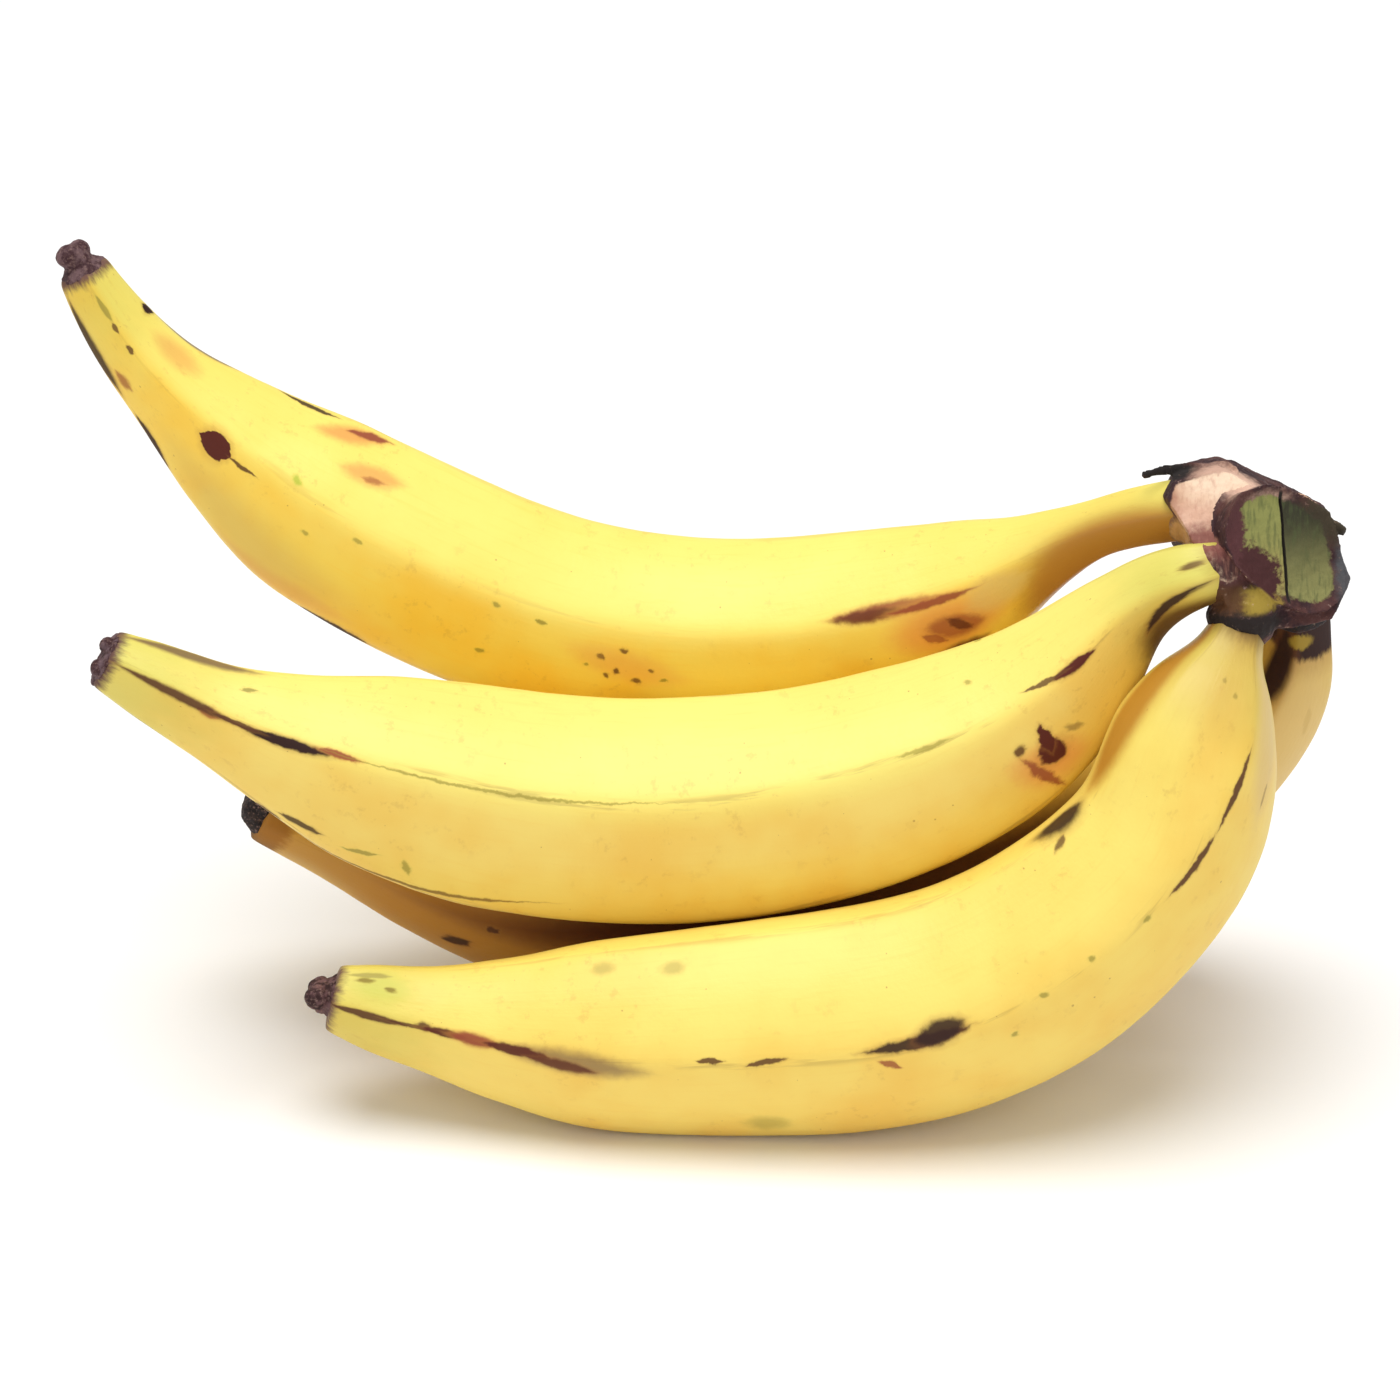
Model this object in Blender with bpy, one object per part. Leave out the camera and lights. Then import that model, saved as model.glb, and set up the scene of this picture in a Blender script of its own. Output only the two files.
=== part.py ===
# A hand of four large plantain-type bananas, lying as in the photograph.
# Two fingers lie on the surface (front and back), the middle one rests in the
# hollow between them, the top one stands out above, and all four necks run into
# one cut crown on the right. +X runs from the blossom ends to the crown, +Z is up.
# Run with: blender --background --python part.py

import math

import bmesh
import bpy
import numpy as np
from mathutils import Vector

MM = 0.001            # every size below is in millimetres

# Middle of the hand's footprint and its lowest level, in the spine coordinates
CENTRE = (-0.62, 36.7)
TABLE_Z = 2.9         # the lowest skin is cut flat here, where it rests on the surface

RINGS = 42            # cross-sections along one finger
AROUND = 25           # points round one cross-section, five to each of its five faces
END_CROWDING = 0.06   # how much closer the cross-sections stand towards both ends
SECTION_FLATNESS = 0.5
GAP = 0.3             # clearance between touching pieces

# spine: points along the middle of the finger from the crown to the blossom end
# girth: (share of the spine's length, radius over the ridges)
# ridge: angle of the first of five ridges, from the camera side towards the top
# blossom: (distance past the finger's end, radius) of its dried blossom end
FINGERS = {
    "top": {
        "spine": [(111, 35.6, 132), (106, 38, 130.5), (86, 49, 120.9), (68, 60.5, 106.2), (44, 69, 92.9), (18, 73.5, 85.7),
                  (-32, 76, 89), (-69, 76.5, 105.2), (-93, 78, 119.5), (-110, 78, 135.5), (-130, 77, 159),
                  (-136, 76, 170.5)],
        "girth": [(0, 4.2), (0.02, 6.9), (0.09, 7.4), (0.148, 10.2), (0.216, 16.6), (0.313, 21.2), (0.461, 23.3),
                  (0.628, 23.6), (0.745, 22.3), (0.824, 17.2), (0.902, 10.6), (0.961, 8), (1, 6.4)],
        "ridge": 22,
        "blossom": [(0, 4.4), (1.2, 3.2), (2.8, 3.4), (4.8, 3.9), (6.4, 3.1), (7.2, 1.6)],
    },
    "middle": {
        "spine": [(113, 23.4, 124), (107, 21.2, 122), (100, 24.2, 118.2), (91, 28.2, 109.3), (82, 29.6, 97.6), (71.5, 30.2, 86.5),
                  (57, 30.5, 76.6), (23, 31.6, 64), (-23, 32, 60.7), (-73, 28, 73.2), (-101, 25, 86.5),
                  (-127, 23, 101.5)],
        "girth": [(0, 3.4), (0.026, 6), (0.084, 7.8), (0.132, 11.2), (0.186, 17.2), (0.259, 22), (0.356, 24.8),
                  (0.512, 26.3), (0.668, 25.8), (0.766, 22.8), (0.844, 16.6), (0.912, 11.4), (0.961, 9.1), (1, 7)],
        "ridge": 27,
        "blossom": [(0, 6.4), (0.8, 6.7), (1.8, 6), (2.5, 4.6), (2.8, 2.4)],
    },
    "front": {
        "spine": [(116.8, 22.5, 115.8), (113.4, 18, 108.6), (108, 12, 96.6), (104, 8.4, 85), (99.5, 5.4, 70.9),
                  (89.5, 3, 56.7), (75, 1, 43.8), (54, 0, 32.5), (13, 0, 25.2), (-38, 0, 23.2),
                  (-66, 0, 27.2), (-79, 0, 30.5)],
        "girth": [(0, 4.2), (0.025, 6.2), (0.045, 7.6), (0.085, 14.5), (0.14, 20.2), (0.25, 23.2), (0.38, 26), (0.5, 26.2),
                  (0.65, 24.4), (0.76, 22), (0.85, 16.6), (0.92, 12), (0.97, 9.8), (1, 7.8)],
        "ridge": 5.5,
        "blossom": [(0, 5), (1.2, 3.9), (2.6, 4.4), (4.4, 4.9), (6, 3.9), (6.8, 2)],
    },
    "back": {
        "spine": [(130, 42, 110), (131.5, 46, 100.5), (130, 50, 87), (124, 54, 73), (111.5, 57, 58.5),
                  (93, 58.5, 44), (70, 59.5, 32.5), (42, 60, 25.5), (9, 60, 23.5), (-25, 59, 24.2),
                  (-57, 56, 31.2), (-81, 53, 43), (-98, 50.3, 52.4)],
        "girth": [(0, 6.4), (0.04, 7.4), (0.09, 12), (0.17, 17.4), (0.27, 21.5), (0.4, 23), (0.52, 23),
                  (0.65, 22.5), (0.76, 20.5), (0.86, 14.2), (0.93, 10.2), (0.97, 8.2), (1, 6.7)],
        "ridge": 15,
        "blossom": [(0, 4.8), (0.9, 4.1), (2, 4.4), (3, 3.6), (3.4, 1.8)],
    },
}
BLOSSOM_AROUND = 15
BLOSSOM_WRINKLE = 0.12      # depth of the dried folds, as a share of the radius
BLOSSOM_FOLDS = 5

# Crown: a rounded block of stalk, trimmed by flat knife cuts
CROWN_CENTRE = (118.3, 34, 124.2)
CROWN_HALF = (21, 20, 16.2)
CROWN_SQUARENESS = 3.1      # 2 is an ellipsoid, more is blockier
CROWN_AROUND, CROWN_ROWS = 30, 18
# name: (point on the cut, outward direction, rim width, depth of the cut inside the rim)
CROWN_CUTS = {
    "pale_cut": ((107, 24, 131.2), (-0.20, -0.62, 0.76), 1.6, 0.8),
    "green_cut": ((129, 21, 125), (0.30, -0.88, 0.36), 2.0, 1.0),
    "neck_side": ((112, 17, 111.5), (-0.46, -0.45, -0.76), 0, 0),
    "left_side": ((103.2, 30, 127), (-0.90, -0.20, -0.40), 0, 0),
    "top_slope": ((123, 35, 134.4), (0.44, 0.12, 0.89), 0, 0),
    "right_slope": ((137, 33, 122.5), (0.93, 0.0, 0.36), 0, 0),
}
CRACK_SIZE = (0.9, 5.0, 17.0)
CRACK_PLACE = (123.6, 21.5, 129.8)
CRACK_TURN = math.radians(-4)
SOCKET_DEPTH = 0.4          # how far a socket goes on past the neck it holds
SOCKET_SHARE = 0.12         # share of the finger, from its neck end, that a socket follows

# Torn skin on the crown: points along each strip, its half width and half thickness
SKIN_STRIPS = {
    "long_strip": ([(95.5, 39, 137.8), (101, 39.5, 138.3), (107, 40, 138.8), (114, 40.5, 138.6)], 2.4, 0.9),
    "right_strip": ([(127, 31, 132.9), (132, 29.5, 130.9), (136.5, 28.5, 129.2)], 2.0, 0.9),
}

SKIN = {"top": (0.86, 0.68, 0.16), "middle": (0.90, 0.74, 0.24), "front": (0.89, 0.72, 0.20),
        "back": (0.66, 0.42, 0.10)}
BLOSSOM_COLOUR = (0.10, 0.06, 0.06)
CROWN_COLOUR = (0.16, 0.10, 0.10)


def clear_scene():
    for old in list(bpy.data.objects):
        bpy.data.objects.remove(old)


def material(name, colour, roughness):
    mat = bpy.data.materials.new(name)
    mat.use_nodes = True
    shader = mat.node_tree.nodes["Principled BSDF"]
    shader.inputs["Base Color"].default_value = (*colour, 1.0)
    shader.inputs["Roughness"].default_value = roughness
    shader.inputs["Metallic"].default_value = 0.0
    return mat


def place(point):
    """A point of the spine coordinates as a vector in metres about the hand's origin."""
    x, y, z = point
    return Vector(((x - CENTRE[0]) * MM, (y - CENTRE[1]) * MM, (z - TABLE_Z) * MM))


def finish(name, bm, mat, sharp=math.radians(40)):
    """Makes one named object of a mesh, with smooth shading between its sharp edges."""
    bmesh.ops.recalc_face_normals(bm, faces=bm.faces)
    mesh = bpy.data.meshes.new(name)
    bm.to_mesh(mesh)
    bm.free()
    mesh.materials.append(mat)
    mesh.shade_smooth()
    mesh.set_sharp_from_angle(angle=sharp)
    obj = bpy.data.objects.new(name, mesh)
    bpy.context.scene.collection.objects.link(obj)
    return obj


def spine_curve(points, shares):
    """Natural cubic spline through the points, read at shares of its length."""
    p = np.array(points, float)
    n = len(p)
    h = np.linalg.norm(np.diff(p, axis=0), axis=1)
    knots = np.concatenate([[0.0], np.cumsum(h)])
    left = np.eye(n)
    right = np.zeros((n, 3))
    for i in range(1, n - 1):
        left[i, i - 1:i + 2] = h[i - 1], 2 * (h[i - 1] + h[i]), h[i]
        right[i] = 6 * ((p[i + 1] - p[i]) / h[i] - (p[i] - p[i - 1]) / h[i - 1])
    bend = np.linalg.solve(left, right)

    def at(t):
        i = int(np.clip(np.searchsorted(knots, t) - 1, 0, n - 2))
        u, w = t - knots[i], knots[i + 1] - t
        return ((bend[i] * w ** 3 + bend[i + 1] * u ** 3) / (6 * h[i])
                + (p[i] / h[i] - bend[i] * h[i] / 6) * w
                + (p[i + 1] / h[i] - bend[i + 1] * h[i] / 6) * u)

    fine = np.array([at(t) for t in np.linspace(0, knots[-1], 800)])
    run = np.concatenate([[0.0], np.cumsum(np.linalg.norm(np.diff(fine, axis=0), axis=1))])
    wanted = np.array(shares) * run[-1]
    return np.stack([np.interp(wanted, run, fine[:, k]) for k in range(3)], axis=-1)


def side_frames(centres):
    """Directions across the spine that never twist: towards the camera side, and up."""
    tangents = np.gradient(centres, axis=0)
    tangents /= np.linalg.norm(tangents, axis=1)[:, None]
    side = np.array([0.0, -1.0, 0.0])
    sides = []
    for t in tangents:
        side = side - t * (side @ t)
        side = side / np.linalg.norm(side)
        sides.append(side)
    sides = np.array(sides)
    return tangents, sides, np.cross(tangents, sides)


def girth_at(knots, share):
    """Radius at a share of the length: a smooth curve that never swings past its knots."""
    xs, ys = np.array(knots, float).T
    h = np.diff(xs)
    rise = np.diff(ys) / h
    slope = np.zeros(len(xs))
    slope[0], slope[-1] = rise[0], rise[-1]
    for i in range(1, len(xs) - 1):
        if rise[i - 1] * rise[i] > 0:
            before, after = 2 * h[i] + h[i - 1], h[i] + 2 * h[i - 1]
            slope[i] = (before + after) / (before / rise[i - 1] + after / rise[i])
    i = int(np.clip(np.searchsorted(xs, share) - 1, 0, len(xs) - 2))
    t = (share - xs[i]) / h[i]
    return (ys[i] * (1 + 2 * t) * (1 - t) ** 2 + slope[i] * h[i] * t * (1 - t) ** 2
            + ys[i + 1] * t * t * (3 - 2 * t) + slope[i + 1] * h[i] * t * t * (t - 1))


def five_sided(angle, flatness):
    """Share of the radius at an angle past a ridge: 1 on the ridge, less on the face between."""
    half = 36.0
    total = 0.0
    for nudge in (-9, -6, -3, 0, 3, 6, 9):
        past = (angle + nudge) % (2 * half) - half
        total += 1 - flatness * (1 - math.cos(math.radians(half)) / math.cos(math.radians(past)))
    return total / 7


def loft(rings, closed_start=True, closed_end=True):
    """Quads between rings of points, with a flat face over each open end."""
    bm = bmesh.new()
    loops = [[bm.verts.new(p) for p in ring] for ring in rings]
    for low, high in zip(loops, loops[1:]):
        count = len(low)
        for j in range(count):
            k = (j + 1) % count
            bm.faces.new((low[j], low[k], high[k], high[j]))
    if closed_start:
        bm.faces.new(reversed(loops[0]))
    if closed_end:
        bm.faces.new(loops[-1])
    return bm


def finger_rings(spec, shares, extra=0.0):
    """Cross-sections of a finger at shares of its length, each larger by extra."""
    centres = spine_curve(spec["spine"], shares)
    _, sides, ups = side_frames(centres)
    rings = []
    for share, centre, side, up in zip(shares, centres, sides, ups):
        radius = girth_at(spec["girth"], min(max(share, 0.0), 1.0)) + extra
        flatness = SECTION_FLATNESS * min(1.0, 0.35 + 0.65 * math.sin(math.pi * share) ** 0.7)
        ring = []
        for j in range(AROUND):
            past = 360.0 * j / AROUND
            a = math.radians(spec["ridge"] + past)
            r = radius * five_sided(past, flatness)
            ring.append(place(centre + r * (side * math.cos(a) + up * math.sin(a))))
        rings.append(ring)
    return rings


def ring_shares(count):
    steps = np.linspace(0, 1, count)
    return np.clip(steps - END_CROWDING * np.sin(2 * math.pi * steps), 0, 1)


def rest_flat(bm):
    """Cuts off what lies below the surface, which leaves a small flat spot to rest on."""
    geom = bm.verts[:] + bm.edges[:] + bm.faces[:]
    bmesh.ops.bisect_plane(bm, geom=geom, plane_co=(0, 0, 0), plane_no=(0, 0, -1), clear_outer=True)
    open_edges = [e for e in bm.edges if e.is_boundary]
    if open_edges:
        bmesh.ops.holes_fill(bm, edges=open_edges)


def make_finger(name, spec):
    bm = loft(finger_rings(spec, ring_shares(RINGS)))
    rest_flat(bm)
    return finish("finger_" + name, bm, material("skin_" + name, SKIN[name], 0.45))


def make_blossom_end(name, spec):
    """The dried remains of the flower, a folded dark nub on the end of the finger."""
    centres = spine_curve(spec["spine"], ring_shares(RINGS))
    tangents, sides, ups = side_frames(centres)
    end, ahead, side, up = centres[-1], tangents[-1], sides[-1], ups[-1]
    rings = []
    for distance, radius in spec["blossom"]:
        ring = []
        for j in range(BLOSSOM_AROUND):
            a = 2 * math.pi * j / BLOSSOM_AROUND
            r = radius * (1 - BLOSSOM_WRINKLE * math.cos(BLOSSOM_FOLDS * a))
            centre = end + ahead * (distance + GAP)
            ring.append(place(centre + r * (side * math.cos(a) + up * math.sin(a))))
        rings.append(ring)
    return finish("blossom_end_" + name, loft(rings), material("dried_" + name, BLOSSOM_COLOUR, 0.85))


def knife_cut(bm, point, outward, rim, depth):
    """Slices the crown flat, then sinks the cut inside a rim of skin."""
    normal = Vector(outward).normalized()
    at = place(point)
    geom = bm.verts[:] + bm.edges[:] + bm.faces[:]
    bmesh.ops.bisect_plane(bm, geom=geom, plane_co=at, plane_no=normal, clear_outer=True)
    edges = [e for e in bm.edges if e.is_boundary]
    cut = bmesh.ops.holes_fill(bm, edges=edges)["faces"]
    if rim:
        bmesh.ops.inset_region(bm, faces=cut, thickness=rim * MM)
        for vert in {v for face in cut for v in face.verts}:
            vert.co -= normal * depth * MM


def crown_block():
    bm = bmesh.new()
    bmesh.ops.create_uvsphere(bm, u_segments=CROWN_AROUND, v_segments=CROWN_ROWS, radius=1.0)
    for vert in bm.verts:
        length = sum(abs(c) ** CROWN_SQUARENESS for c in vert.co) ** (1 / CROWN_SQUARENESS)
        unit = vert.co / length
        vert.co = place([c + h * u for c, h, u in zip(CROWN_CENTRE, CROWN_HALF, unit)])
    for point, outward, rim, depth in CROWN_CUTS.values():
        knife_cut(bm, point, outward, rim, depth)
    return bm


def strip(points, half_width, half_thick):
    """A torn strip of skin, widest in the middle and drawn to a thin end."""
    rings = []
    last = len(points) - 1
    for i, point in enumerate(points):
        swell = 0.25 + 0.75 * math.sin(math.pi * (i + 0.5) / (last + 1))
        w, t = half_width * swell, half_thick * swell
        x, y, z = point
        rings.append([place((x, y - w, z - t)), place((x, y + w, z - t)),
                      place((x, y + w, z + t)), place((x, y - w, z + t))])
    return loft(rings)


def helper(name, bm):
    """An object that only cuts or joins another, kept out of the finished part."""
    obj = finish(name, bm, bpy.data.materials["crown_skin"])
    obj.hide_render = True
    obj.display_type = "WIRE"
    return obj


def boolean(obj, other, operation):
    mod = obj.modifiers.new(other.name, "BOOLEAN")
    mod.object = other
    mod.operation = operation
    mod.solver = "EXACT"


def make_crown():
    crown = finish("crown", crown_block(), material("crown_skin", CROWN_COLOUR, 0.8))
    for name, (points, half_width, half_thick) in SKIN_STRIPS.items():
        boolean(crown, helper(name, strip(points, half_width, half_thick)), "UNION")
    crack = bmesh.new()
    bmesh.ops.create_cube(crack, size=1.0)
    for vert in crack.verts:
        x, y, z = [c * s for c, s in zip(vert.co, CRACK_SIZE)]
        turned = (x * math.cos(CRACK_TURN) + z * math.sin(CRACK_TURN), y,
                  z * math.cos(CRACK_TURN) - x * math.sin(CRACK_TURN))
        vert.co = place([c + t for c, t in zip(CRACK_PLACE, turned)])
    boolean(crown, helper("crack", crack), "DIFFERENCE")
    for name, spec in FINGERS.items():
        shares = [share for share in ring_shares(RINGS) if share < SOCKET_SHARE]
        rings = finger_rings(spec, shares, extra=GAP)
        push = (rings[0][0] - rings[1][0]).normalized() * SOCKET_DEPTH * MM
        rings.insert(0, [p + push for p in rings[0]])
        boolean(crown, helper("socket_" + name, loft(rings)), "DIFFERENCE")
    return crown


def main():
    clear_scene()
    for name, spec in FINGERS.items():
        make_finger(name, spec)
        make_blossom_end(name, spec)
    make_crown()


main()
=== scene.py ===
# A hand of four ripe plantains lying on a pale surface in soft light.
import math

import bpy
import numpy as np
from mathutils import Matrix, Vector


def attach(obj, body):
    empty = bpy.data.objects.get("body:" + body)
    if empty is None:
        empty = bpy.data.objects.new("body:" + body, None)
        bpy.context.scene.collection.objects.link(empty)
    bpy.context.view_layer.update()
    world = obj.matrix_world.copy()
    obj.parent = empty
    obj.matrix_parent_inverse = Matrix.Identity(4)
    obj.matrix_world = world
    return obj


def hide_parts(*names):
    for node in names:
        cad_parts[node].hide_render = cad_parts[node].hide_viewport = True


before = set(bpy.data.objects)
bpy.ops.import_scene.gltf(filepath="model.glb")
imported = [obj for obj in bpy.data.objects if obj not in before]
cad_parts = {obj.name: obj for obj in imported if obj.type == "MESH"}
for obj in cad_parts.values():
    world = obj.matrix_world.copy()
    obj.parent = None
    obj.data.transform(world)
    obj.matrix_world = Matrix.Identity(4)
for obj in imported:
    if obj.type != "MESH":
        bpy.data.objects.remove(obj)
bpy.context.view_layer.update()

mm = 0.001
handOrigin = np.array((-0.62, 36.7, 2.9))  # places below are in millimetres, counted from here


def toScene(point):
    return Vector((np.array(point, float) - handOrigin) * mm)


def startMaterial(name):
    material = bpy.data.materials.new(name)
    material.use_nodes = True
    return material, material.node_tree, material.node_tree.nodes["Principled BSDF"]


# The camera, the surface and the light

studio = {
    "camera": (0.0, -747.24, 451.08), "tilt": 65.0, "lens": 101.69, "sensor": 36.0,
    "surfaceSize": 8.0, "surfaceDrop": 0.0002,
    "surfaceColour": (0.96, 0.96, 0.96, 1.0), "surfaceRoughness": 0.6,
    "sky": (1.0, 0.99, 0.975, 1.0), "skyStrength": 0.5,
    "lamps": {
        "mainLamp": {"place": (-200, -250, 4000), "aim": (0, 40, 60), "size": 3.2, "power": 131.0},
        "fillLamp": {"place": (300, -1500, 900), "aim": (0, 40, 60), "size": 1.2, "power": 3.0},
    },
}


def addLamp(name, look):
    place, aim = toScene(look["place"]), toScene(look["aim"])
    turn = (aim - place).to_track_quat("-Z", "Y").to_euler()
    bpy.ops.object.light_add(type="AREA", location=place, rotation=turn)
    lamp = bpy.context.object
    lamp.name = name
    lamp.data.shape = "DISK"
    lamp.data.size = look["size"]
    lamp.data.energy = look["power"]


def setStudio():
    scene = bpy.context.scene
    scene.view_settings.view_transform = "Standard"
    tilt = math.radians(studio["tilt"])
    bpy.ops.object.camera_add(location=toScene(studio["camera"]), rotation=(tilt, 0, 0))
    scene.camera = bpy.context.object
    scene.camera.data.lens = studio["lens"]
    scene.camera.data.sensor_width = studio["sensor"]
    world = bpy.data.worlds.new("softRoom")
    world.use_nodes = True
    background = world.node_tree.nodes["Background"]
    background.inputs["Color"].default_value = studio["sky"]
    background.inputs["Strength"].default_value = studio["skyStrength"]
    scene.world = world
    for name, look in studio["lamps"].items():
        addLamp(name, look)
    bpy.ops.mesh.primitive_plane_add(size=studio["surfaceSize"], location=(0, 0, -studio["surfaceDrop"]))
    surface = bpy.context.object
    surface.name = "paleSurface"
    material, _, shader = startMaterial("paleSurface")
    shader.inputs["Base Color"].default_value = studio["surfaceColour"]
    shader.inputs["Roughness"].default_value = studio["surfaceRoughness"]
    surface.data.materials.append(material)


bpy.ops.object.select_all(action="DESELECT")
setStudio()
print("studio ready")


# Small helpers for modelling by hand

def setMode(mode):
    bpy.ops.object.mode_set(mode=mode)


def applyPlace():
    bpy.ops.object.transform_apply(location=True, rotation=True, scale=True)


def onlySelect(piece):
    bpy.ops.object.select_all(action="DESELECT")
    piece.select_set(True)
    bpy.context.view_layer.objects.active = piece


def pick(piece, kind, test):
    # selects the corners or faces that pass a test, and stays in edit mode
    setMode("EDIT")
    bpy.ops.mesh.select_mode(type="VERT" if kind == "vertices" else "FACE")
    bpy.ops.mesh.select_all(action="DESELECT")
    setMode("OBJECT")
    for part in getattr(piece.data, kind):
        part.select = test(part)
    setMode("EDIT")


def startRing(name, corners, radius, centre, turn):
    # a flat ring, from which a piece is extruded
    bpy.ops.object.select_all(action="DESELECT")
    bpy.ops.mesh.primitive_circle_add(vertices=corners, radius=radius, fill_type="NGON",
                                      location=centre, rotation=turn)
    ring = bpy.context.object
    ring.name = name
    return ring


def resizeRound(centre, grow):
    bpy.ops.transform.resize(value=(grow, grow, grow), center_override=centre)


def turnRound(centre, turn):
    for axis, angle in zip("XYZ", turn.to_euler()):
        # with no window this operator turns the other way round
        bpy.ops.transform.rotate(value=-angle, orient_axis=axis, center_override=centre)


def pull(step, centre, grow, turn=None):
    # extrudes what is selected, turns its new end and resizes it
    bpy.ops.mesh.extrude_region_move(TRANSFORM_OT_translate={"value": step})
    if turn is not None:
        turnRound(centre, turn)
    resizeRound(centre, grow)


def joinTo(piece, extras):
    onlySelect(piece)
    for extra in extras:
        extra.select_set(True)
    bpy.ops.object.join()


def applyModifier(piece, kind, **values):
    modifier = piece.modifiers.new(kind.title(), kind)
    for key, value in values.items():
        setattr(modifier, key, value)
    onlySelect(piece)
    bpy.ops.object.modifier_apply(modifier=modifier.name)


def pushInAndOut(piece, look, labels):
    # moves the surface by soft clouds, each with its size and its strength in millimetres
    for label in labels:
        size, strength = look[label]
        texture = bpy.data.textures.new(piece.name + label, "CLOUDS")
        texture.noise_scale = size * mm
        texture.noise_depth = 2
        applyModifier(piece, "DISPLACE", texture=texture, texture_coords="LOCAL",
                      strength=strength * mm, mid_level=0.5)


def settle(piece):
    onlySelect(piece)
    applyPlace()
    setMode("EDIT")
    bpy.ops.mesh.select_all(action="SELECT")
    bpy.ops.mesh.normals_make_consistent(inside=False)
    setMode("OBJECT")
    bpy.ops.object.shade_smooth()


def pointsOf(piece):
    points = np.empty(len(piece.data.vertices) * 3)
    piece.data.vertices.foreach_get("co", points)
    return points.reshape(-1, 3)


def keepOnPoints(piece, name, values):
    # an attribute that the piece's material reads
    kind, field = ("FLOAT", "value") if values.ndim == 1 else ("FLOAT_VECTOR", "vector")
    piece.data.attributes.new(name, kind, "POINT").data.foreach_set(field, values.ravel())


def handOver(piece, node, material):
    piece.data.materials.clear()
    piece.data.materials.append(material)
    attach(piece, "root")
    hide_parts(node)
    print(piece.name, "done,", len(piece.data.polygons), "faces")


# The line down the middle of a finger

def makeSpine(points, steps=800):
    # a smooth line through the points, with directions across it that never twist
    p = np.array(points, float)
    n = len(p)
    h = np.linalg.norm(np.diff(p, axis=0), axis=1)
    knots = np.concatenate([[0.0], np.cumsum(h)])
    left, right = np.eye(n), np.zeros((n, 3))
    for i in range(1, n - 1):
        left[i, i - 1:i + 2] = h[i - 1], 2 * (h[i - 1] + h[i]), h[i]
        right[i] = 6 * ((p[i + 1] - p[i]) / h[i] - (p[i] - p[i - 1]) / h[i - 1])
    bend = np.linalg.solve(left, right)
    fine = []
    for t in np.linspace(0, knots[-1], steps):
        i = int(np.clip(np.searchsorted(knots, t) - 1, 0, n - 2))
        u, w = t - knots[i], knots[i + 1] - t
        fine.append((bend[i] * w ** 3 + bend[i + 1] * u ** 3) / (6 * h[i])
                    + (p[i] / h[i] - bend[i] * h[i] / 6) * w
                    + (p[i + 1] / h[i] - bend[i + 1] * h[i] / 6) * u)
    fine = np.array(fine)
    run = np.concatenate([[0.0], np.cumsum(np.linalg.norm(np.diff(fine, axis=0), axis=1))])
    even = np.linspace(0, run[-1], steps)
    centre = np.stack([np.interp(even, run, fine[:, k]) for k in range(3)], axis=-1)
    ahead = np.gradient(centre, axis=0)
    ahead /= np.linalg.norm(ahead, axis=1)[:, None]
    side, sides = np.array([0.0, -1.0, 0.0]), []
    for t in ahead:
        side = side - t * (side @ t)
        side = side / np.linalg.norm(side)
        sides.append(side)
    sides = np.array(sides)
    return {"centre": centre, "reach": run[-1], "ahead": ahead, "side": sides, "up": np.cross(ahead, sides)}


def girthAt(knots, share):
    # a smooth radius that never swings past its knots
    xs, ys = np.array(knots, float).T
    h = np.diff(xs)
    rise = np.diff(ys) / h
    slope = np.zeros(len(xs))
    slope[0], slope[-1] = rise[0], rise[-1]
    for i in range(1, len(xs) - 1):
        if rise[i - 1] * rise[i] > 0:
            before, after = 2 * h[i] + h[i - 1], h[i] + 2 * h[i - 1]
            slope[i] = (before + after) / (before / rise[i - 1] + after / rise[i])
    i = int(np.clip(np.searchsorted(xs, share) - 1, 0, len(xs) - 2))
    t = (share - xs[i]) / h[i]
    return (ys[i] * (1 + 2 * t) * (1 - t) ** 2 + slope[i] * h[i] * t * (1 - t) ** 2
            + ys[i + 1] * t * t * (3 - 2 * t) + slope[i + 1] * h[i] * t * t * (t - 1))


def ridgeAt(look, along):
    return np.interp(along, [a for a, _ in look["ridge"]], [r for _, r in look["ridge"]])


def ringAt(spine, look, share):
    # middle of the finger and the turn of its section, first ridge along the turned Y
    i = int(round(share * (len(spine["centre"]) - 1)))
    side, up, ahead = (Vector(spine[key][i]) for key in ("side", "up", "ahead"))
    ridge = math.radians(ridgeAt(look, share * spine["reach"]))
    toRidge = side * math.cos(ridge) + up * math.sin(ridge)
    return toScene(spine["centre"][i]), Matrix((toRidge.cross(ahead), toRidge, ahead)).transposed()


# The fingers

fingerSection = {
    "ridges": 5, "flatness": 0.915, "rounding": 0.13, "cornerSteps": 2, "rings": 56, "crowding": 0.055,
    "tip": ((0.9, 0.4), (0.7, 0.25), (0.4, 0.1)),  # resized by, millimetres further
    "levels": 2, "shrink": 0.985, "sway": (38, 0.55), "dimple": (9, 0.16),  # size and strength
    "atOnce": 2000,  # points measured in one go
}

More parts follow.
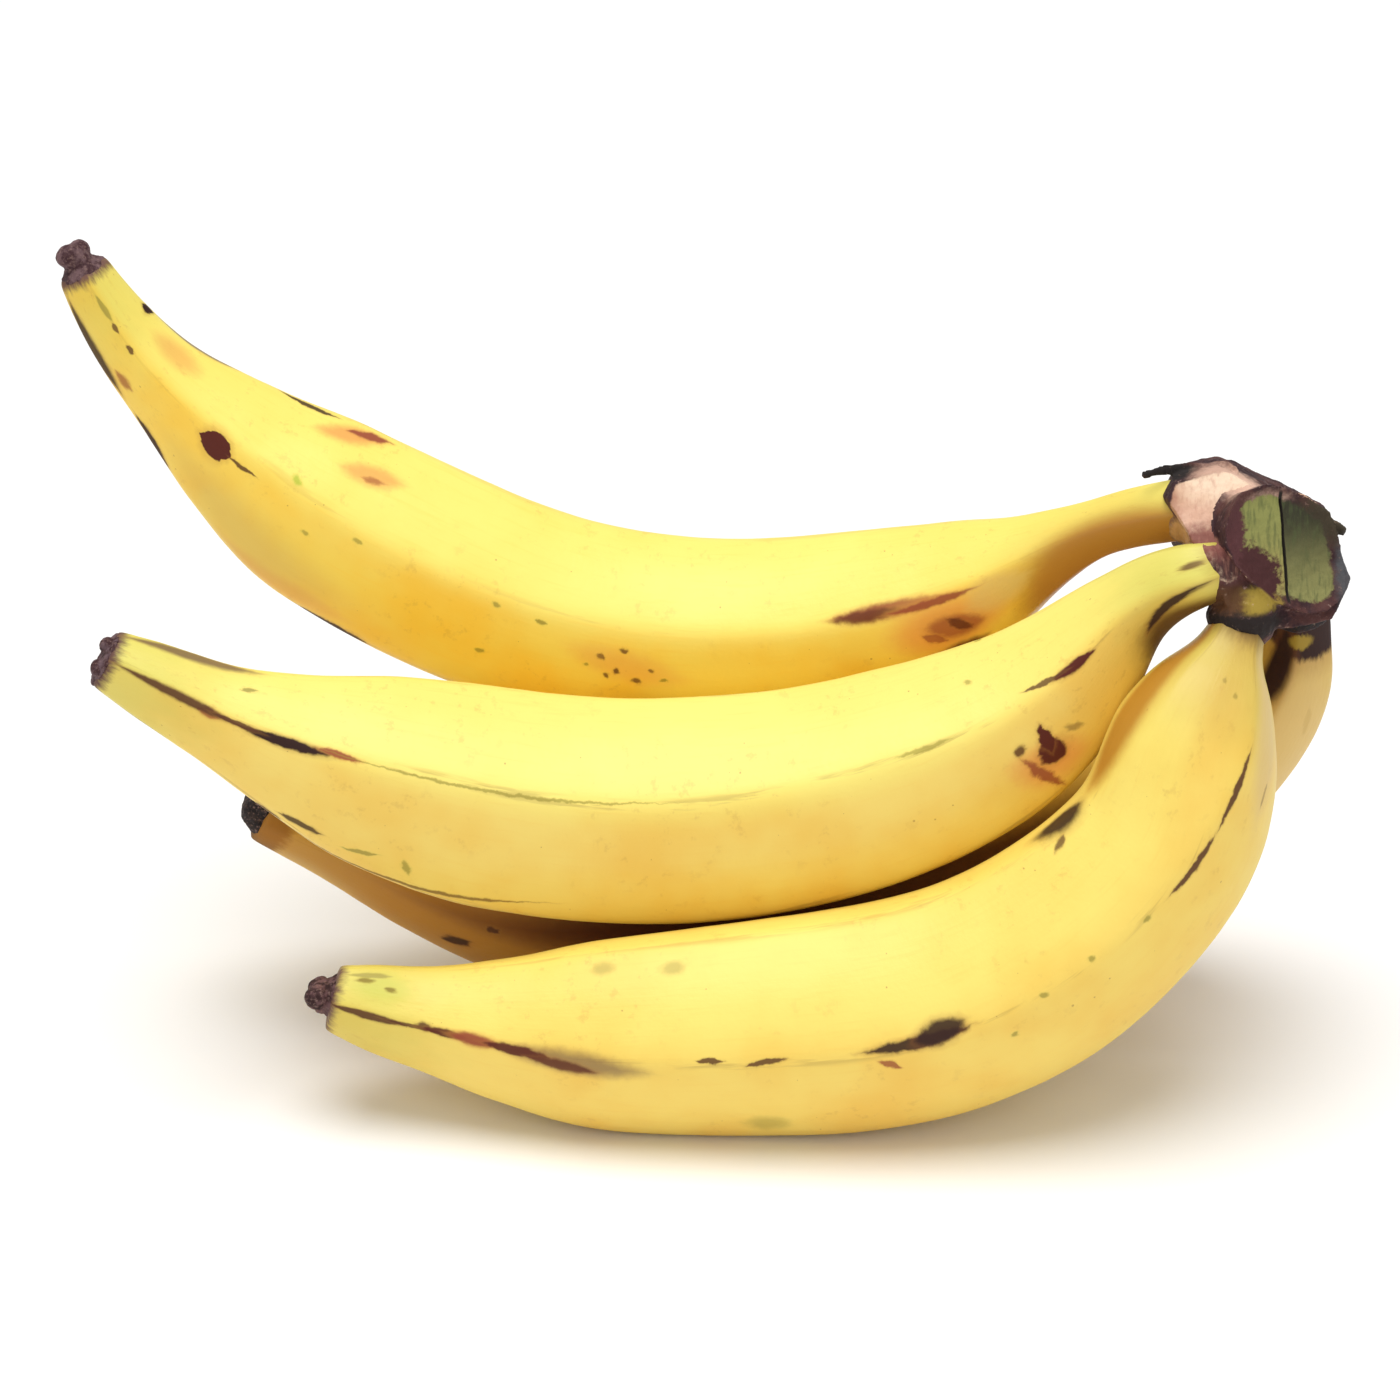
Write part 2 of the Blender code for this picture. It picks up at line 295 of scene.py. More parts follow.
topFinger = {
    "spine": [(111, 35.6, 132), (106, 38, 130.5), (86, 49, 120.9), (68, 60.5, 106.2), (44, 69, 92.9),
              (18, 73.5, 85.7), (-32, 76, 89), (-69, 76.5, 105.2), (-93, 78, 119.5), (-110, 78, 135.5),
              (-129, 77, 159.4), (-134.8, 76, 170.8)],
    "girth": [(0, 5), (0.02, 7.2), (0.09, 6.7), (0.148, 9.4), (0.216, 16), (0.313, 21.2), (0.461, 23.3),
              (0.628, 23.9), (0.745, 22.7), (0.824, 17.2), (0.902, 10.6), (0.961, 8), (1, 6.4)],
    "ridge": [(0, 18), (77, 19), (150, 22), (200, 18), (239, 24), (261, 15), (275, 7), (299, 11)],
}
middleFinger = {
    "spine": [(113, 23.4, 123.4), (107, 21.6, 122.6), (100, 24, 119), (91, 28.2, 109.9), (82, 29.6, 97.9),
              (71.5, 30.2, 86.5), (57, 30.5, 76.6), (23, 31.6, 64), (-23, 32, 60.7), (-73, 28, 73.2),
              (-101, 25, 86.5), (-127, 23, 101.5)],
    "girth": [(0, 5.6), (0.026, 7.2), (0.084, 9.4), (0.132, 13.4), (0.186, 17.8), (0.259, 22),
              (0.356, 24.8), (0.512, 26.3), (0.668, 25.8), (0.766, 22.8), (0.844, 16.2), (0.912, 11.1),
              (0.961, 9.1), (1, 7)],
    "ridge": [(0, 10), (38, 13), (85, 27), (146, 23), (200, 24), (225, 19), (250, 16), (272, 26)],
}
frontFinger = {
    "spine": [(116.8, 22.5, 115.8), (113.4, 18, 108.6), (108, 12, 96.6), (104, 8.4, 85), (99.5, 5.4, 70.9),
              (89.5, 3, 56.7), (75, 1, 43.8), (54, 0, 32.5), (13, 0, 25.2), (-38, 0, 24), (-66, 0, 28.6),
              (-79, 0, 32)],
    "girth": [(0, 4.2), (0.025, 6.2), (0.045, 7.6), (0.085, 14.4), (0.14, 19.7), (0.25, 22.6), (0.38, 25.4),
              (0.5, 26.2), (0.65, 24.4), (0.76, 22), (0.85, 16.6), (0.92, 12), (0.97, 9.8), (1, 7.8)],
    "ridge": [(0, -24), (31, -22), (54, 0), (117, 7), (154, 6), (197, 9), (228, 16), (247, 13)],
}
backFinger = {
    "spine": [(130, 42, 110), (131.5, 46, 100.5), (130, 50, 87), (124, 54, 73), (111.5, 57, 58.5),
              (93, 58.5, 44), (70, 59.5, 32.5), (42, 60, 25.5), (9, 60, 23.5), (-25, 59, 24.2),
              (-57, 56, 31.2), (-81, 53, 43), (-98, 50.3, 52.4)],
    "girth": [(0, 6.4), (0.04, 7.4), (0.09, 11.4), (0.17, 15.9), (0.27, 20.4), (0.4, 23), (0.52, 23),
              (0.65, 22.5), (0.76, 20.5), (0.86, 14.2), (0.93, 10.4), (0.97, 9), (1, 8)],
    "ridge": [(0, 15), (285, 15)],
}
fingers = {"Top": topFinger, "Middle": middleFinger, "Front": frontFinger, "Back": backFinger}


def growRings(name, spine, look, shares):
    # a ring with five ridges and slightly full flats, extruded along the spine,
    # turned and resized at every step
    centre, turn = ringAt(spine, look, shares[0])
    radius = girthAt(look["girth"], shares[0]) / fingerSection["shrink"] * mm
    piece = startRing(name, 2 * fingerSection["ridges"], radius, centre, turn.to_euler())
    applyPlace()
    setMode("EDIT")
    bpy.ops.mesh.select_all(action="SELECT")
    bpy.ops.mesh.delete(type="ONLY_FACE")
    pick(piece, "vertices", lambda v: v.index % 2 == 1)
    resizeRound(centre, fingerSection["flatness"])
    pick(piece, "vertices", lambda v: v.index % 2 == 0)
    bpy.ops.mesh.bevel(offset=fingerSection["rounding"] * radius, segments=fingerSection["cornerSteps"],
                       affect="VERTICES")
    bpy.ops.mesh.select_all(action="SELECT")
    for share in shares[1:]:
        nextCentre, nextTurn = ringAt(spine, look, share)
        nextRadius = girthAt(look["girth"], share) / fingerSection["shrink"] * mm
        pull(nextCentre - centre, nextCentre, nextRadius / radius, nextTurn @ turn.transposed())
        centre, turn, radius = nextCentre, nextTurn, nextRadius
    return piece, centre, turn


def closeEnds():
    # fills what is still open
    bpy.ops.mesh.select_all(action="DESELECT")
    bpy.ops.mesh.select_non_manifold()
    bpy.ops.mesh.fill_holes(sides=0)


def writeSkinPlace(piece, spine, look):
    # for every point: which way it faces round the finger, how far along it lies, and how near a ridge
    points = pointsOf(piece) / mm + handOrigin
    count, atOnce = len(points), fingerSection["atOnce"]
    nearest = np.empty(count, int)
    for start in range(0, count, atOnce):
        gap = points[start:start + atOnce, None, :] - spine["centre"][None, :, :]
        nearest[start:start + atOnce] = np.argmin((gap ** 2).sum(2), axis=1)
    out = points - spine["centre"][nearest]
    along = nearest * spine["reach"] / (len(spine["centre"]) - 1) + (out * spine["ahead"][nearest]).sum(1)
    toSide, toUp = (out * spine["side"][nearest]).sum(1), (out * spine["up"][nearest]).sum(1)
    away = np.maximum(np.hypot(toSide, toUp), 1e-6)
    keepOnPoints(piece, "skin", np.stack([toSide / away, toUp / away, along], axis=-1))
    pastRidge = np.arctan2(toUp, toSide) - np.radians(ridgeAt(look, along))
    keepOnPoints(piece, "ridge", np.cos(fingerSection["ridges"] * pastRidge))


def growFinger(name, look, spine):
    steps = np.linspace(0, 1, fingerSection["rings"])
    shares = np.clip(steps - fingerSection["crowding"] * np.sin(2 * math.pi * steps), 0, 1)
    piece, centre, turn = growRings(name, spine, look, shares)
    ahead = turn.col[2]
    for grow, forward in fingerSection["tip"]:
        centre = centre + ahead * forward * mm
        pull(ahead * forward * mm, centre, grow)
    closeEnds()
    setMode("OBJECT")
    settle(piece)
    applyModifier(piece, "SUBSURF", levels=fingerSection["levels"], render_levels=fingerSection["levels"])
    pushInAndOut(piece, fingerSection, ("sway", "dimple"))
    piece.data.shade_smooth()
    writeSkinPlace(piece, spine, look)
    return piece


# Building blocks for the materials

def newGroup(name, inputs, outputs):
    # sockets are listed by their kind
    group = bpy.data.node_groups.new(name, "ShaderNodeTree")
    for way, sockets in (("INPUT", inputs), ("OUTPUT", outputs)):
        for kind, labels in sockets.items():
            for label in labels:
                group.interface.new_socket(label, in_out=way, socket_type="NodeSocket" + kind)
    return group, group.nodes.new("NodeGroupInput").outputs, group.nodes.new("NodeGroupOutput").inputs


def feed(tree, socket, value):
    if isinstance(value, bpy.types.NodeSocket):
        tree.links.new(value, socket)
    else:
        socket.default_value = value


def calc(tree, operation, *values):
    node = tree.nodes.new("ShaderNodeMath")
    node.operation = operation
    for socket, value in zip(node.inputs, values):
        feed(tree, socket, value)
    return node.outputs[0]


def times(tree, value, factor):
    return calc(tree, "MULTIPLY", value, factor)


def centred(tree, value, reach):
    # from a pattern between 0 and 1 to one between minus reach and reach
    return calc(tree, "MULTIPLY_ADD", value, 2 * reach, -reach)


def vectorMath(tree, operation, *values, want=0):
    node = tree.nodes.new("ShaderNodeVectorMath")
    node.operation = operation
    for socket, value in zip(node.inputs, values):
        feed(tree, socket, value)
    return node.outputs[want]


def splitVector(tree, vector):
    node = tree.nodes.new("ShaderNodeSeparateXYZ")
    feed(tree, node.inputs[0], vector)
    return node.outputs


def readAttribute(tree, name):
    node = tree.nodes.new("ShaderNodeAttribute")
    node.attribute_name = name
    return node.outputs


def blendColour(tree, factor, low, high):
    node = tree.nodes.new("ShaderNodeMix")
    node.data_type = "RGBA"
    node.clamp_factor = True
    feed(tree, node.inputs[0], factor)
    feed(tree, node.inputs[6], low)
    feed(tree, node.inputs[7], high)
    return node.outputs[2]


def layOver(tree, colour, mask, strength, ink):
    return blendColour(tree, times(tree, mask, strength), colour, ink)


def ramp(tree, value, low, high):
    # 0 at low, 1 at high
    node = tree.nodes.new("ShaderNodeMapRange")
    node.interpolation_type = "SMOOTHSTEP"
    feed(tree, node.inputs["Value"], value)
    feed(tree, node.inputs["From Min"], low)
    feed(tree, node.inputs["From Max"], high)
    return node.outputs["Result"]


def edgeAt(tree, value, edge, soft):
    # 1 below the edge and 0 above it
    return ramp(tree, value, calc(tree, "ADD", edge, soft), calc(tree, "SUBTRACT", edge, soft))


def noise(tree, vector, scale, detail=3.0, roughness=0.5, want="Fac"):
    node = tree.nodes.new("ShaderNodeTexNoise")
    feed(tree, node.inputs["Vector"], vector)
    node.inputs["Scale"].default_value = scale
    node.inputs["Detail"].default_value = detail
    node.inputs["Roughness"].default_value = roughness
    return node.outputs[want]


def useGroup(tree, group, values):
    node = tree.nodes.new("ShaderNodeGroup")
    node.node_tree = group
    for label, value in values.items():
        feed(tree, node.inputs[label], value)
    return node.outputs


def finishSurface(tree, shader, colour, rough, height, finish):
    # finish: smoothest roughness, what the rough places add, strength and depth of the relief, gloss
    feed(tree, shader.inputs["Base Color"], colour)
    rough = calc(tree, "MULTIPLY_ADD", rough, finish["rougher"], finish["smooth"])
    feed(tree, shader.inputs["Roughness"], rough)
    bump = tree.nodes.new("ShaderNodeBump")
    bump.inputs["Strength"].default_value = finish["relief"]
    bump.inputs["Distance"].default_value = finish["depth"] * mm
    feed(tree, bump.inputs["Height"], height)
    feed(tree, shader.inputs["Normal"], bump.outputs[0])
    shader.inputs["Specular IOR Level"].default_value = finish["gloss"]


# The peel

skinRadius = 22.0  # millimetres, on which places round a finger are measured
haloRange = (1.9, 0.9)  # where a mark's halo ends and where it is full, in half sizes of the mark


def makeMarkGroup():
    # one streak or spot on the skin, on coordinates that run along and round the finger
    group, given, gives = newGroup(
        "peelMark", {"Vector": ("Surface", "Centre", "Turn", "Half Size"), "Float": ("Pointed", "Soft")},
        {"Float": ("Mark", "Halo")})
    fit = group.nodes.new("ShaderNodeMapping")
    fit.vector_type = "TEXTURE"
    for socket, label in zip(fit.inputs, ("Surface", "Centre", "Turn", "Half Size")):
        feed(group, socket, given[label])
    long, wide = splitVector(group, fit.outputs[0])[:2]
    pointed = calc(group, "MULTIPLY_ADD", long, long, calc(group, "ABSOLUTE", wide))
    rounded = vectorMath(group, "LENGTH", fit.outputs[0], want="Value")
    far = calc(group, "MULTIPLY_ADD", calc(group, "SUBTRACT", pointed, rounded), given["Pointed"], rounded)
    feed(group, gives["Mark"], edgeAt(group, far, 1.0, given["Soft"]))
    feed(group, gives["Halo"], ramp(group, far, *haloRange))
    return group


peelLook = {
    "grain": {  # scale, detail and roughness of each pattern
        "patch": (32.0, 3.0, 0.55), "fine": (0.9, 3.0, 0.6), "uneven": (0.12, 3.0),
        "freckle": (0.3, 4.0, 0.7), "broken": (0.35, 4.0, 0.65), "speckSize": (0.06, 2.0),
        "edge": (0.4, 4.0, 0.6), "relief": (0.7, 3.0),
    },
    "range": {  # where each pattern starts and where it is full
        "gold": (0.36, 0.68), "lemon": (0.12, 0.5), "fine": (0.5, 0.8),
        "neck": (42.0, 4.0), "tip": (34.0, 4.0),  # millimetres from the end
        "freckle": (0.56, 0.7), "freckled": (0.4, 0.6), "ridge": (0.93, 1.0), "broken": (0.52, 0.62),
    },
    # the first colour below is a pale yellow painted on the upper faces as light
    "lemon": (0.94, 0.84, 0.205, 1.0), "green": (0.42, 0.46, 0.07, 1.0), "freckle": (0.5, 0.25, 0.045, 1.0),
    "worn": (0.16, 0.055, 0.012, 1.0), "speck": (0.3, 0.12, 0.02, 1.0),
    "fineStrength": 0.22, "freckleStrength": 0.22, "speckStrength": 0.5,
    "fibreStretch": 0.07, "unevenEnds": 8.0, "speckSpacing": 0.2, "speckSizes": (0.13, -0.03),
    "collarSoft": 1.6, "collarRagged": 1.8, "reliefFine": 0.25, "reliefPits": 0.35, "reliefWorn": 0.2,
    "ragged": (3.0, 1.5, 0.0),  # millimetres by which the edges of marks wander, along and round
    "apart": 0.37,  # metres between the fingers' patterns
}
peelFinish = {"smooth": 0.42, "rougher": 0.28, "relief": 0.35, "depth": 0.4, "gloss": 0.35}


def makePeelGroup():
    # the peel between its marks, in two yellows, with its ends, specks and fibres
    group, given, gives = newGroup(
        "peelTone",
        {"Vector": ("Place", "Where"), "Color": ("Pale", "Gold", "Green", "Collar"),
         "Float": ("Ridge", "Reach", "Neck Green", "Tip Green", "Collar Length", "Ridge Wear", "Painted Top Light")},
        {"Color": ("Color",), "Float": ("Dry", "Relief"), "Vector": ("Surface",)})
    grain, span = peelLook["grain"], peelLook["range"]
    toSide, toUp, along = splitVector(group, given["Place"])
    flow = vectorMath(group, "MULTIPLY", given["Place"], (skinRadius, skinRadius, 1.0))  # millimetres
    slow = (skinRadius, skinRadius, peelLook["fibreStretch"])
    fibres = vectorMath(group, "MULTIPLY", given["Place"], slow)
    # slow change between the two yellows, with painted light as a paler yellow on the upper faces, and fine
    # fibres
    patch = noise(group, given["Where"], *grain["patch"])
    colour = blendColour(group, ramp(group, patch, *span["gold"]), given["Pale"], given["Gold"])
    colour = layOver(group, colour, ramp(group, toUp, *span["lemon"]), given["Painted Top Light"], peelLook["lemon"])
    fine = noise(group, fibres, *grain["fine"])
    fibre = ramp(group, fine, *span["fine"])
    colour = layOver(group, colour, fibre, peelLook["fineStrength"], given["Gold"])
    # greener at the neck and at the tip
    uneven = centred(group, noise(group, flow, *grain["uneven"]), peelLook["unevenEnds"])
    toTip = calc(group, "SUBTRACT", given["Reach"], along)
    neck = ramp(group, calc(group, "ADD", along, uneven), *span["neck"])
    neck = times(group, neck, given["Neck Green"])
    tip = ramp(group, calc(group, "ADD", toTip, uneven), *span["tip"])
    tip = times(group, tip, given["Tip Green"])
    colour = blendColour(group, calc(group, "MAXIMUM", neck, tip), colour, given["Green"])
    # faint tan freckles
    freckle = ramp(group, noise(group, flow, *grain["freckle"]), *span["freckle"])
    freckle = times(group, freckle, ramp(group, patch, *span["freckled"]))
    colour = layOver(group, colour, freckle, peelLook["freckleStrength"], peelLook["freckle"])
    # worn brown lines on the ridges
    broken = ramp(group, noise(group, fibres, *grain["broken"]), *span["broken"])
    onRidge = ramp(group, given["Ridge"], *span["ridge"])
    wear = times(group, times(group, onRidge, broken), given["Ridge Wear"])
    colour = blendColour(group, wear, colour, peelLook["worn"])
    # fine brown specks
    cells = group.nodes.new("ShaderNodeTexVoronoi")
    feed(group, cells.inputs["Vector"], flow)
    cells.inputs["Scale"].default_value = peelLook["speckSpacing"]
    size = calc(group, "MULTIPLY_ADD", noise(group, flow, *grain["speckSize"]), *peelLook["speckSizes"])
    speck = calc(group, "LESS_THAN", cells.outputs["Distance"], size)
    colour = layOver(group, colour, speck, peelLook["speckStrength"], peelLook["speck"])
    # the dry brown collar at the tip
    shake = centred(group, noise(group, flow, *grain["edge"]), peelLook["collarRagged"])
    collar = edgeAt(group, calc(group, "ADD", toTip, shake), given["Collar Length"], peelLook["collarSoft"])
    feed(group, gives["Color"], blendColour(group, collar, colour, given["Collar"]))
    feed(group, gives["Dry"], calc(group, "MAXIMUM", collar, wear))
    pits = times(group, noise(group, flow, *grain["relief"]), peelLook["reliefPits"])
    relief = calc(group, "MULTIPLY_ADD", fine, peelLook["reliefFine"], pits)
    relief = calc(group, "SUBTRACT", relief, times(group, wear, peelLook["reliefWorn"]))
    feed(group, gives["Relief"], relief)
    # millimetres along and round, with small shifts, so that marks get ragged edges
    around = times(group, calc(group, "ARCTAN2", toUp, toSide), skinRadius)
    flat = group.nodes.new("ShaderNodeCombineXYZ")
    feed(group, flat.inputs[0], along)
    feed(group, flat.inputs[1], around)
    shift = noise(group, flow, *grain["edge"], want="Color")
    shift = vectorMath(group, "SUBTRACT", shift, (0.5, 0.5, 0.5))
    shifted = vectorMath(group, "MULTIPLY_ADD", shift, peelLook["ragged"], flat.outputs[0])
    feed(group, gives["Surface"], shifted)
    return group


markGroup = makeMarkGroup()
peelGroup = makePeelGroup()

markInk = {  # colour of the mark, colour of its halo, strength of the halo
    "black": ((0.028, 0.006, 0.003, 1), (0.3, 0.1, 0.02, 1), 0.35),
    "maroon": ((0.095, 0.011, 0.004, 1), (0.42, 0.17, 0.03, 1), 0.3),
    "brown": ((0.1, 0.032, 0.01, 1), (0.42, 0.2, 0.03, 1), 0.25),
    "rust": ((0.3, 0.06, 0.025, 1), (0.62, 0.27, 0.05, 1), 0.45),
    "tan": ((0.5, 0.27, 0.07, 1), (0.6, 0.4, 0.08, 1), 0.2),
    "bruise": ((0.16, 0.085, 0.05, 1), (0.5, 0.3, 0.07, 1), 0.3),
    "olive": ((0.3, 0.24, 0.03, 1), (0.5, 0.42, 0.06, 1), 0.3),
    # the next two inks are used for painted shade
    "shade": ((0.47, 0.2, 0.03, 1), (0.6, 0.35, 0.05, 1), 0.3),
    "amber": ((0.46, 0.17, 0.008, 1), (0.66, 0.36, 0.03, 1), 0.3),
    "umber": ((0.13, 0.055, 0.012, 1), (0.4, 0.2, 0.03, 1), 0.4),
    "green": ((0.42, 0.5, 0.03, 1), (0.7, 0.62, 0.08, 1), 0.3),
    "stub": ((0.4, 0.27, 0.03, 1), (0.4, 0.27, 0.03, 1), 0.0),
    "pale": ((0.72, 0.5, 0.17, 1), (0.72, 0.5, 0.17, 1), 0.0),
    "peach": ((0.8, 0.33, 0.08, 1), (0.86, 0.5, 0.1, 1), 0.4),
}

dryInks = ("black", "maroon", "brown", "rust")  # these marks are rougher

# name: ink, millimetres along, degrees around, length, width, turn, pointed, soft, strength
topMarks = {
    # the first two marks are painted shade on the underside of the neck
    "neckDark": ("umber", 20, -56, 54, 16, -3, 0.4, 0.5, 0.95),
    "neckUnder": ("shade", 22, -42, 60, 18, 0, 0.4, 0.3, 0.9),
    "diamond": ("maroon", 252.5, 7, 8.8, 6.2, -14, 1, 0.06, 1.0),
    "diamondTail": ("brown", 245, 9.5, 8, 0.9, -8, 1, 0.3, 0.9),
    "edgeSpot": ("black", 284, 82, 3.6, 3.4, 0, 0.6, 0.2, 1.0),
    "upperEdge": ("bruise", 270, 92, 22, 2.6, 0, 1, 0.4, 0.85),
    "upperEdgeLow": ("black", 240, 91, 16, 1.5, 3, 1, 0.3, 0.9),
    "rustPatch": ("peach", 227, 78, 17, 5.5, -16, 0.5, 0.6, 0.8),
    "rustCore": ("rust", 222, 84, 12, 2.8, -12, 1, 0.35, 0.95),
    "paleSmudge": ("peach", 217, 55, 15, 5.4, -12, 0.5, 0.6, 0.7),
    "paleSmudgeCore": ("rust", 216, 52, 6, 1.5, -14, 0.8, 0.6, 0.6),
    "greenDot": ("green", 233, 27, 2.6, 1.8, 20, 0, 0.5, 0.8),
    "leftEdge": ("black", 284, -56, 22, 3.2, 2, 1, 0.4, 0.9),
    "leftEdgeRed": ("rust", 275, -36, 5, 2.4, 0, 0.6, 0.5, 0.7),
    "leftEdgeLow": ("black", 261, -55, 13, 2.4, 0, 1, 0.3, 0.95),
    "ridgeDash": ("olive", 291, 11, 7, 1.2, -5, 1, 0.3, 0.7),
    "ridgeDashLow": ("brown", 286, 9, 3, 1.0, 2, 1, 0.3, 0.8),
    "ridgeDot": ("brown", 280, 8, 2.4, 1.1, 0, 0.6, 0.3, 0.85),
    "tipOrange": ("peach", 272, 55, 12, 5, -10, 0.2, 0.7, 0.5),
    "lowerEdge": ("black", 209, -54, 19, 3.0, -2, 0.9, 0.3, 0.95),
    "lowerTan": ("peach", 222, -44, 26, 5, -3, 0.4, 0.7, 0.35),
    "dullPatch": ("tan", 235, -30, 40, 13, 0, 0.2, 0.8, 0.3),
    "speckCloud": ("peach", 147, -2, 24, 7, 10, 0.3, 0.7, 0.4),
    "speckOne": ("brown", 148, 8, 1.6, 1.1, 0, 0, 0.4, 0.8),
    "speckSix": ("brown", 151, -10, 1.3, 1.4, 0, 0, 0.4, 0.8),
    "speckSeven": ("olive", 138, -9, 1.4, 1.0, 0, 0, 0.4, 0.8),
    "speckEight": ("olive", 156, -5, 1.2, 1.0, 0, 0, 0.4, 0.7),
    "speckTwo": ("brown", 149, -6, 1.4, 1.8, 0, 0, 0.4, 0.85),
    "speckThree": ("brown", 144, -11, 1.6, 1.4, 0, 0, 0.4, 0.8),
    "speckFour": ("brown", 153, 2, 1.4, 1.2, 0, 0, 0.4, 0.7),
    "speckFive": ("brown", 141, -3, 1.6, 1.0, 0, 0, 0.4, 0.7),
    "dotOne": ("olive", 180, 15, 1.8, 1.2, 0, 0, 0.4, 0.7),
    "dotTwo": ("olive", 169, 14, 2.4, 1.2, 0, 0.5, 0.4, 0.8),
    "dotThree": ("olive", 179, -17, 1.6, 1.2, 0, 0, 0.4, 0.7),
    "dotFour": ("olive", 224, 2, 1.6, 1.1, 0, 0, 0.4, 0.6),
    "dotFive": ("olive", 213, 14, 1.8, 1.1, 0, 0, 0.4, 0.6),
    "ridgeStreak": ("rust", 80, 20, 30, 3.6, 4, 1, 0.4, 0.9),
    "ridgeStreakDark": ("maroon", 86, 20, 18, 2.8, 4, 1, 0.5, 0.75),
    "neckTan": ("peach", 68, -8, 27, 13, 10, 0.2, 0.5, 0.8),
    "neckPatch": ("rust", 67, -12, 14, 6, 30, 0.3, 0.35, 0.75),
    "neckPatchLine": ("rust", 69, 15, 24, 1.8, 4, 1, 0.4, 0.9),
    "neckBeige": ("pale", 54, -2, 16, 8, 0, 0.3, 0.5, 0.7),
    "neckPatchDark": ("maroon", 70, -34, 14, 3.4, 8, 0.6, 0.5, 0.85),
    "neckPatchSpot": ("maroon", 66, -12, 8, 2.0, 62, 0.6, 0.4, 0.8),
    "neckPatchFar": ("rust", 73, -14, 7, 2.2, 50, 0.8, 0.3, 0.7),
    "backStreak": ("brown", 120, 150, 26, 2.0, 4, 1, 0.35, 0.85),
    "backSpot": ("rust", 190, 135, 8, 5, 20, 0.3, 0.5, 0.7),
    "backDash": ("olive", 232, -130, 10, 1.6, -6, 1, 0.4, 0.8),
    "underSmudge": ("tan", 160, -120, 20, 8, 5, 0.3, 0.7, 0.6),
}
middleMarks = {
    # the first mark is painted shade on the underside of the neck
    "neckUnder": ("umber", 17, -56, 26, 10, -10, 0.5, 0.5, 0.95),
    "ridgeDark": ("black", 233, 16, 21, 2.3, -6, 0.8, 0.25, 1.0),
    "ridgeRust": ("rust", 221, 21, 10, 1.6, -1, 1, 0.35, 0.9),
    "ridgeRustFar": ("rust", 249, 12, 5, 2.0, 0, 0.5, 0.4, 0.8),
    "ridgeTip": ("brown", 257, 15.5, 28, 2.0, 2, 0.9, 0.4, 0.95),
    "ridgeJoin": ("brown", 243, 15, 12, 1.2, -3, 1, 0.3, 0.9),
    "lowerTip": ("olive", 262, -58, 16, 1.6, 0, 1, 0.4, 0.7),
    "ridgeLine": ("olive", 183, 23, 80, 0.7, -1, 1, 0.5, 0.65),
    "upperEdge": ("bruise", 257, 84, 30, 3.0, 0, 0.9, 0.5, 0.85),
    "dash": ("olive", 243, 56, 4, 1.0, -30, 1, 0.4, 0.8),
    "lowOne": ("brown", 229, -56, 7, 1.6, -10, 1, 0.3, 0.9),
    "lowTwo": ("black", 222, -44, 10, 1.7, -15, 1, 0.3, 0.85),
    "lowThree": ("olive", 209, -38, 8, 1.1, -21, 1, 0.3, 0.75),
    "lowFour": ("olive", 199, -35, 3.5, 1.6, 60, 0.4, 0.4, 0.7),
    "lowEdge": ("brown", 200, -49, 60, 1.2, -8, 1, 0.4, 0.7),
    "lens": ("maroon", 40, 13.5, 12, 2.2, 15, 1, 0.25, 1.0),
    "lensTail": ("brown", 47, 21, 12, 0.9, 22, 1, 0.3, 0.85),
    "rust": ("peach", 59, -26, 16, 9, 40, 0.2, 0.6, 0.75),
    "rustCore": ("maroon", 57, -21, 8, 5.6, 80, 0.5, 0.2, 1.0),
    "rustSpike": ("maroon", 56, -10, 9, 2.8, -77, 1, 0.2, 1.0),
    "rustLeft": ("brown", 62, -4, 3, 2.0, -40, 0, 0.4, 0.9),
    "rustRight": ("brown", 50.4, -20, 5, 1.4, 60, 0.4, 0.6, 0.5),
    "rustCurve": ("rust", 61.7, -29.6, 15, 2.0, 81, 1, 0.5, 0.85),
    "dotOne": ("olive", 57, 92, 2.4, 1.6, 0, 0, 0.4, 0.6),
    "dotTwo": ("olive", 64, 56, 2.0, 1.5, 0, 0, 0.4, 0.6),
    "greenStreak": ("olive", 80, 26, 13, 1.2, 3, 1, 0.4, 0.6),
    "upperLine": ("olive", 32, 100, 12, 1.2, 0, 1, 0.4, 0.6),
    "neckSpot": ("umber", 8, 45, 2.6, 1.8, 20, 0, 0.4, 0.85),
    "neckBruise": ("black", 15, -12, 22, 1.9, -40, 0.8, 0.35, 0.95),
    "neckEnd": ("stub", 2, 50, 9, 14, 0, 0.2, 0.6, 0.7),
    "backStreak": ("black", 150, 140, 20, 2.2, -5, 1, 0.35, 0.85),
    "backRust": ("rust", 95, 120, 12, 4, 12, 0.6, 0.5, 0.7),
    "underDash": ("brown", 120, -125, 14, 1.6, 4, 1, 0.4, 0.8),
}
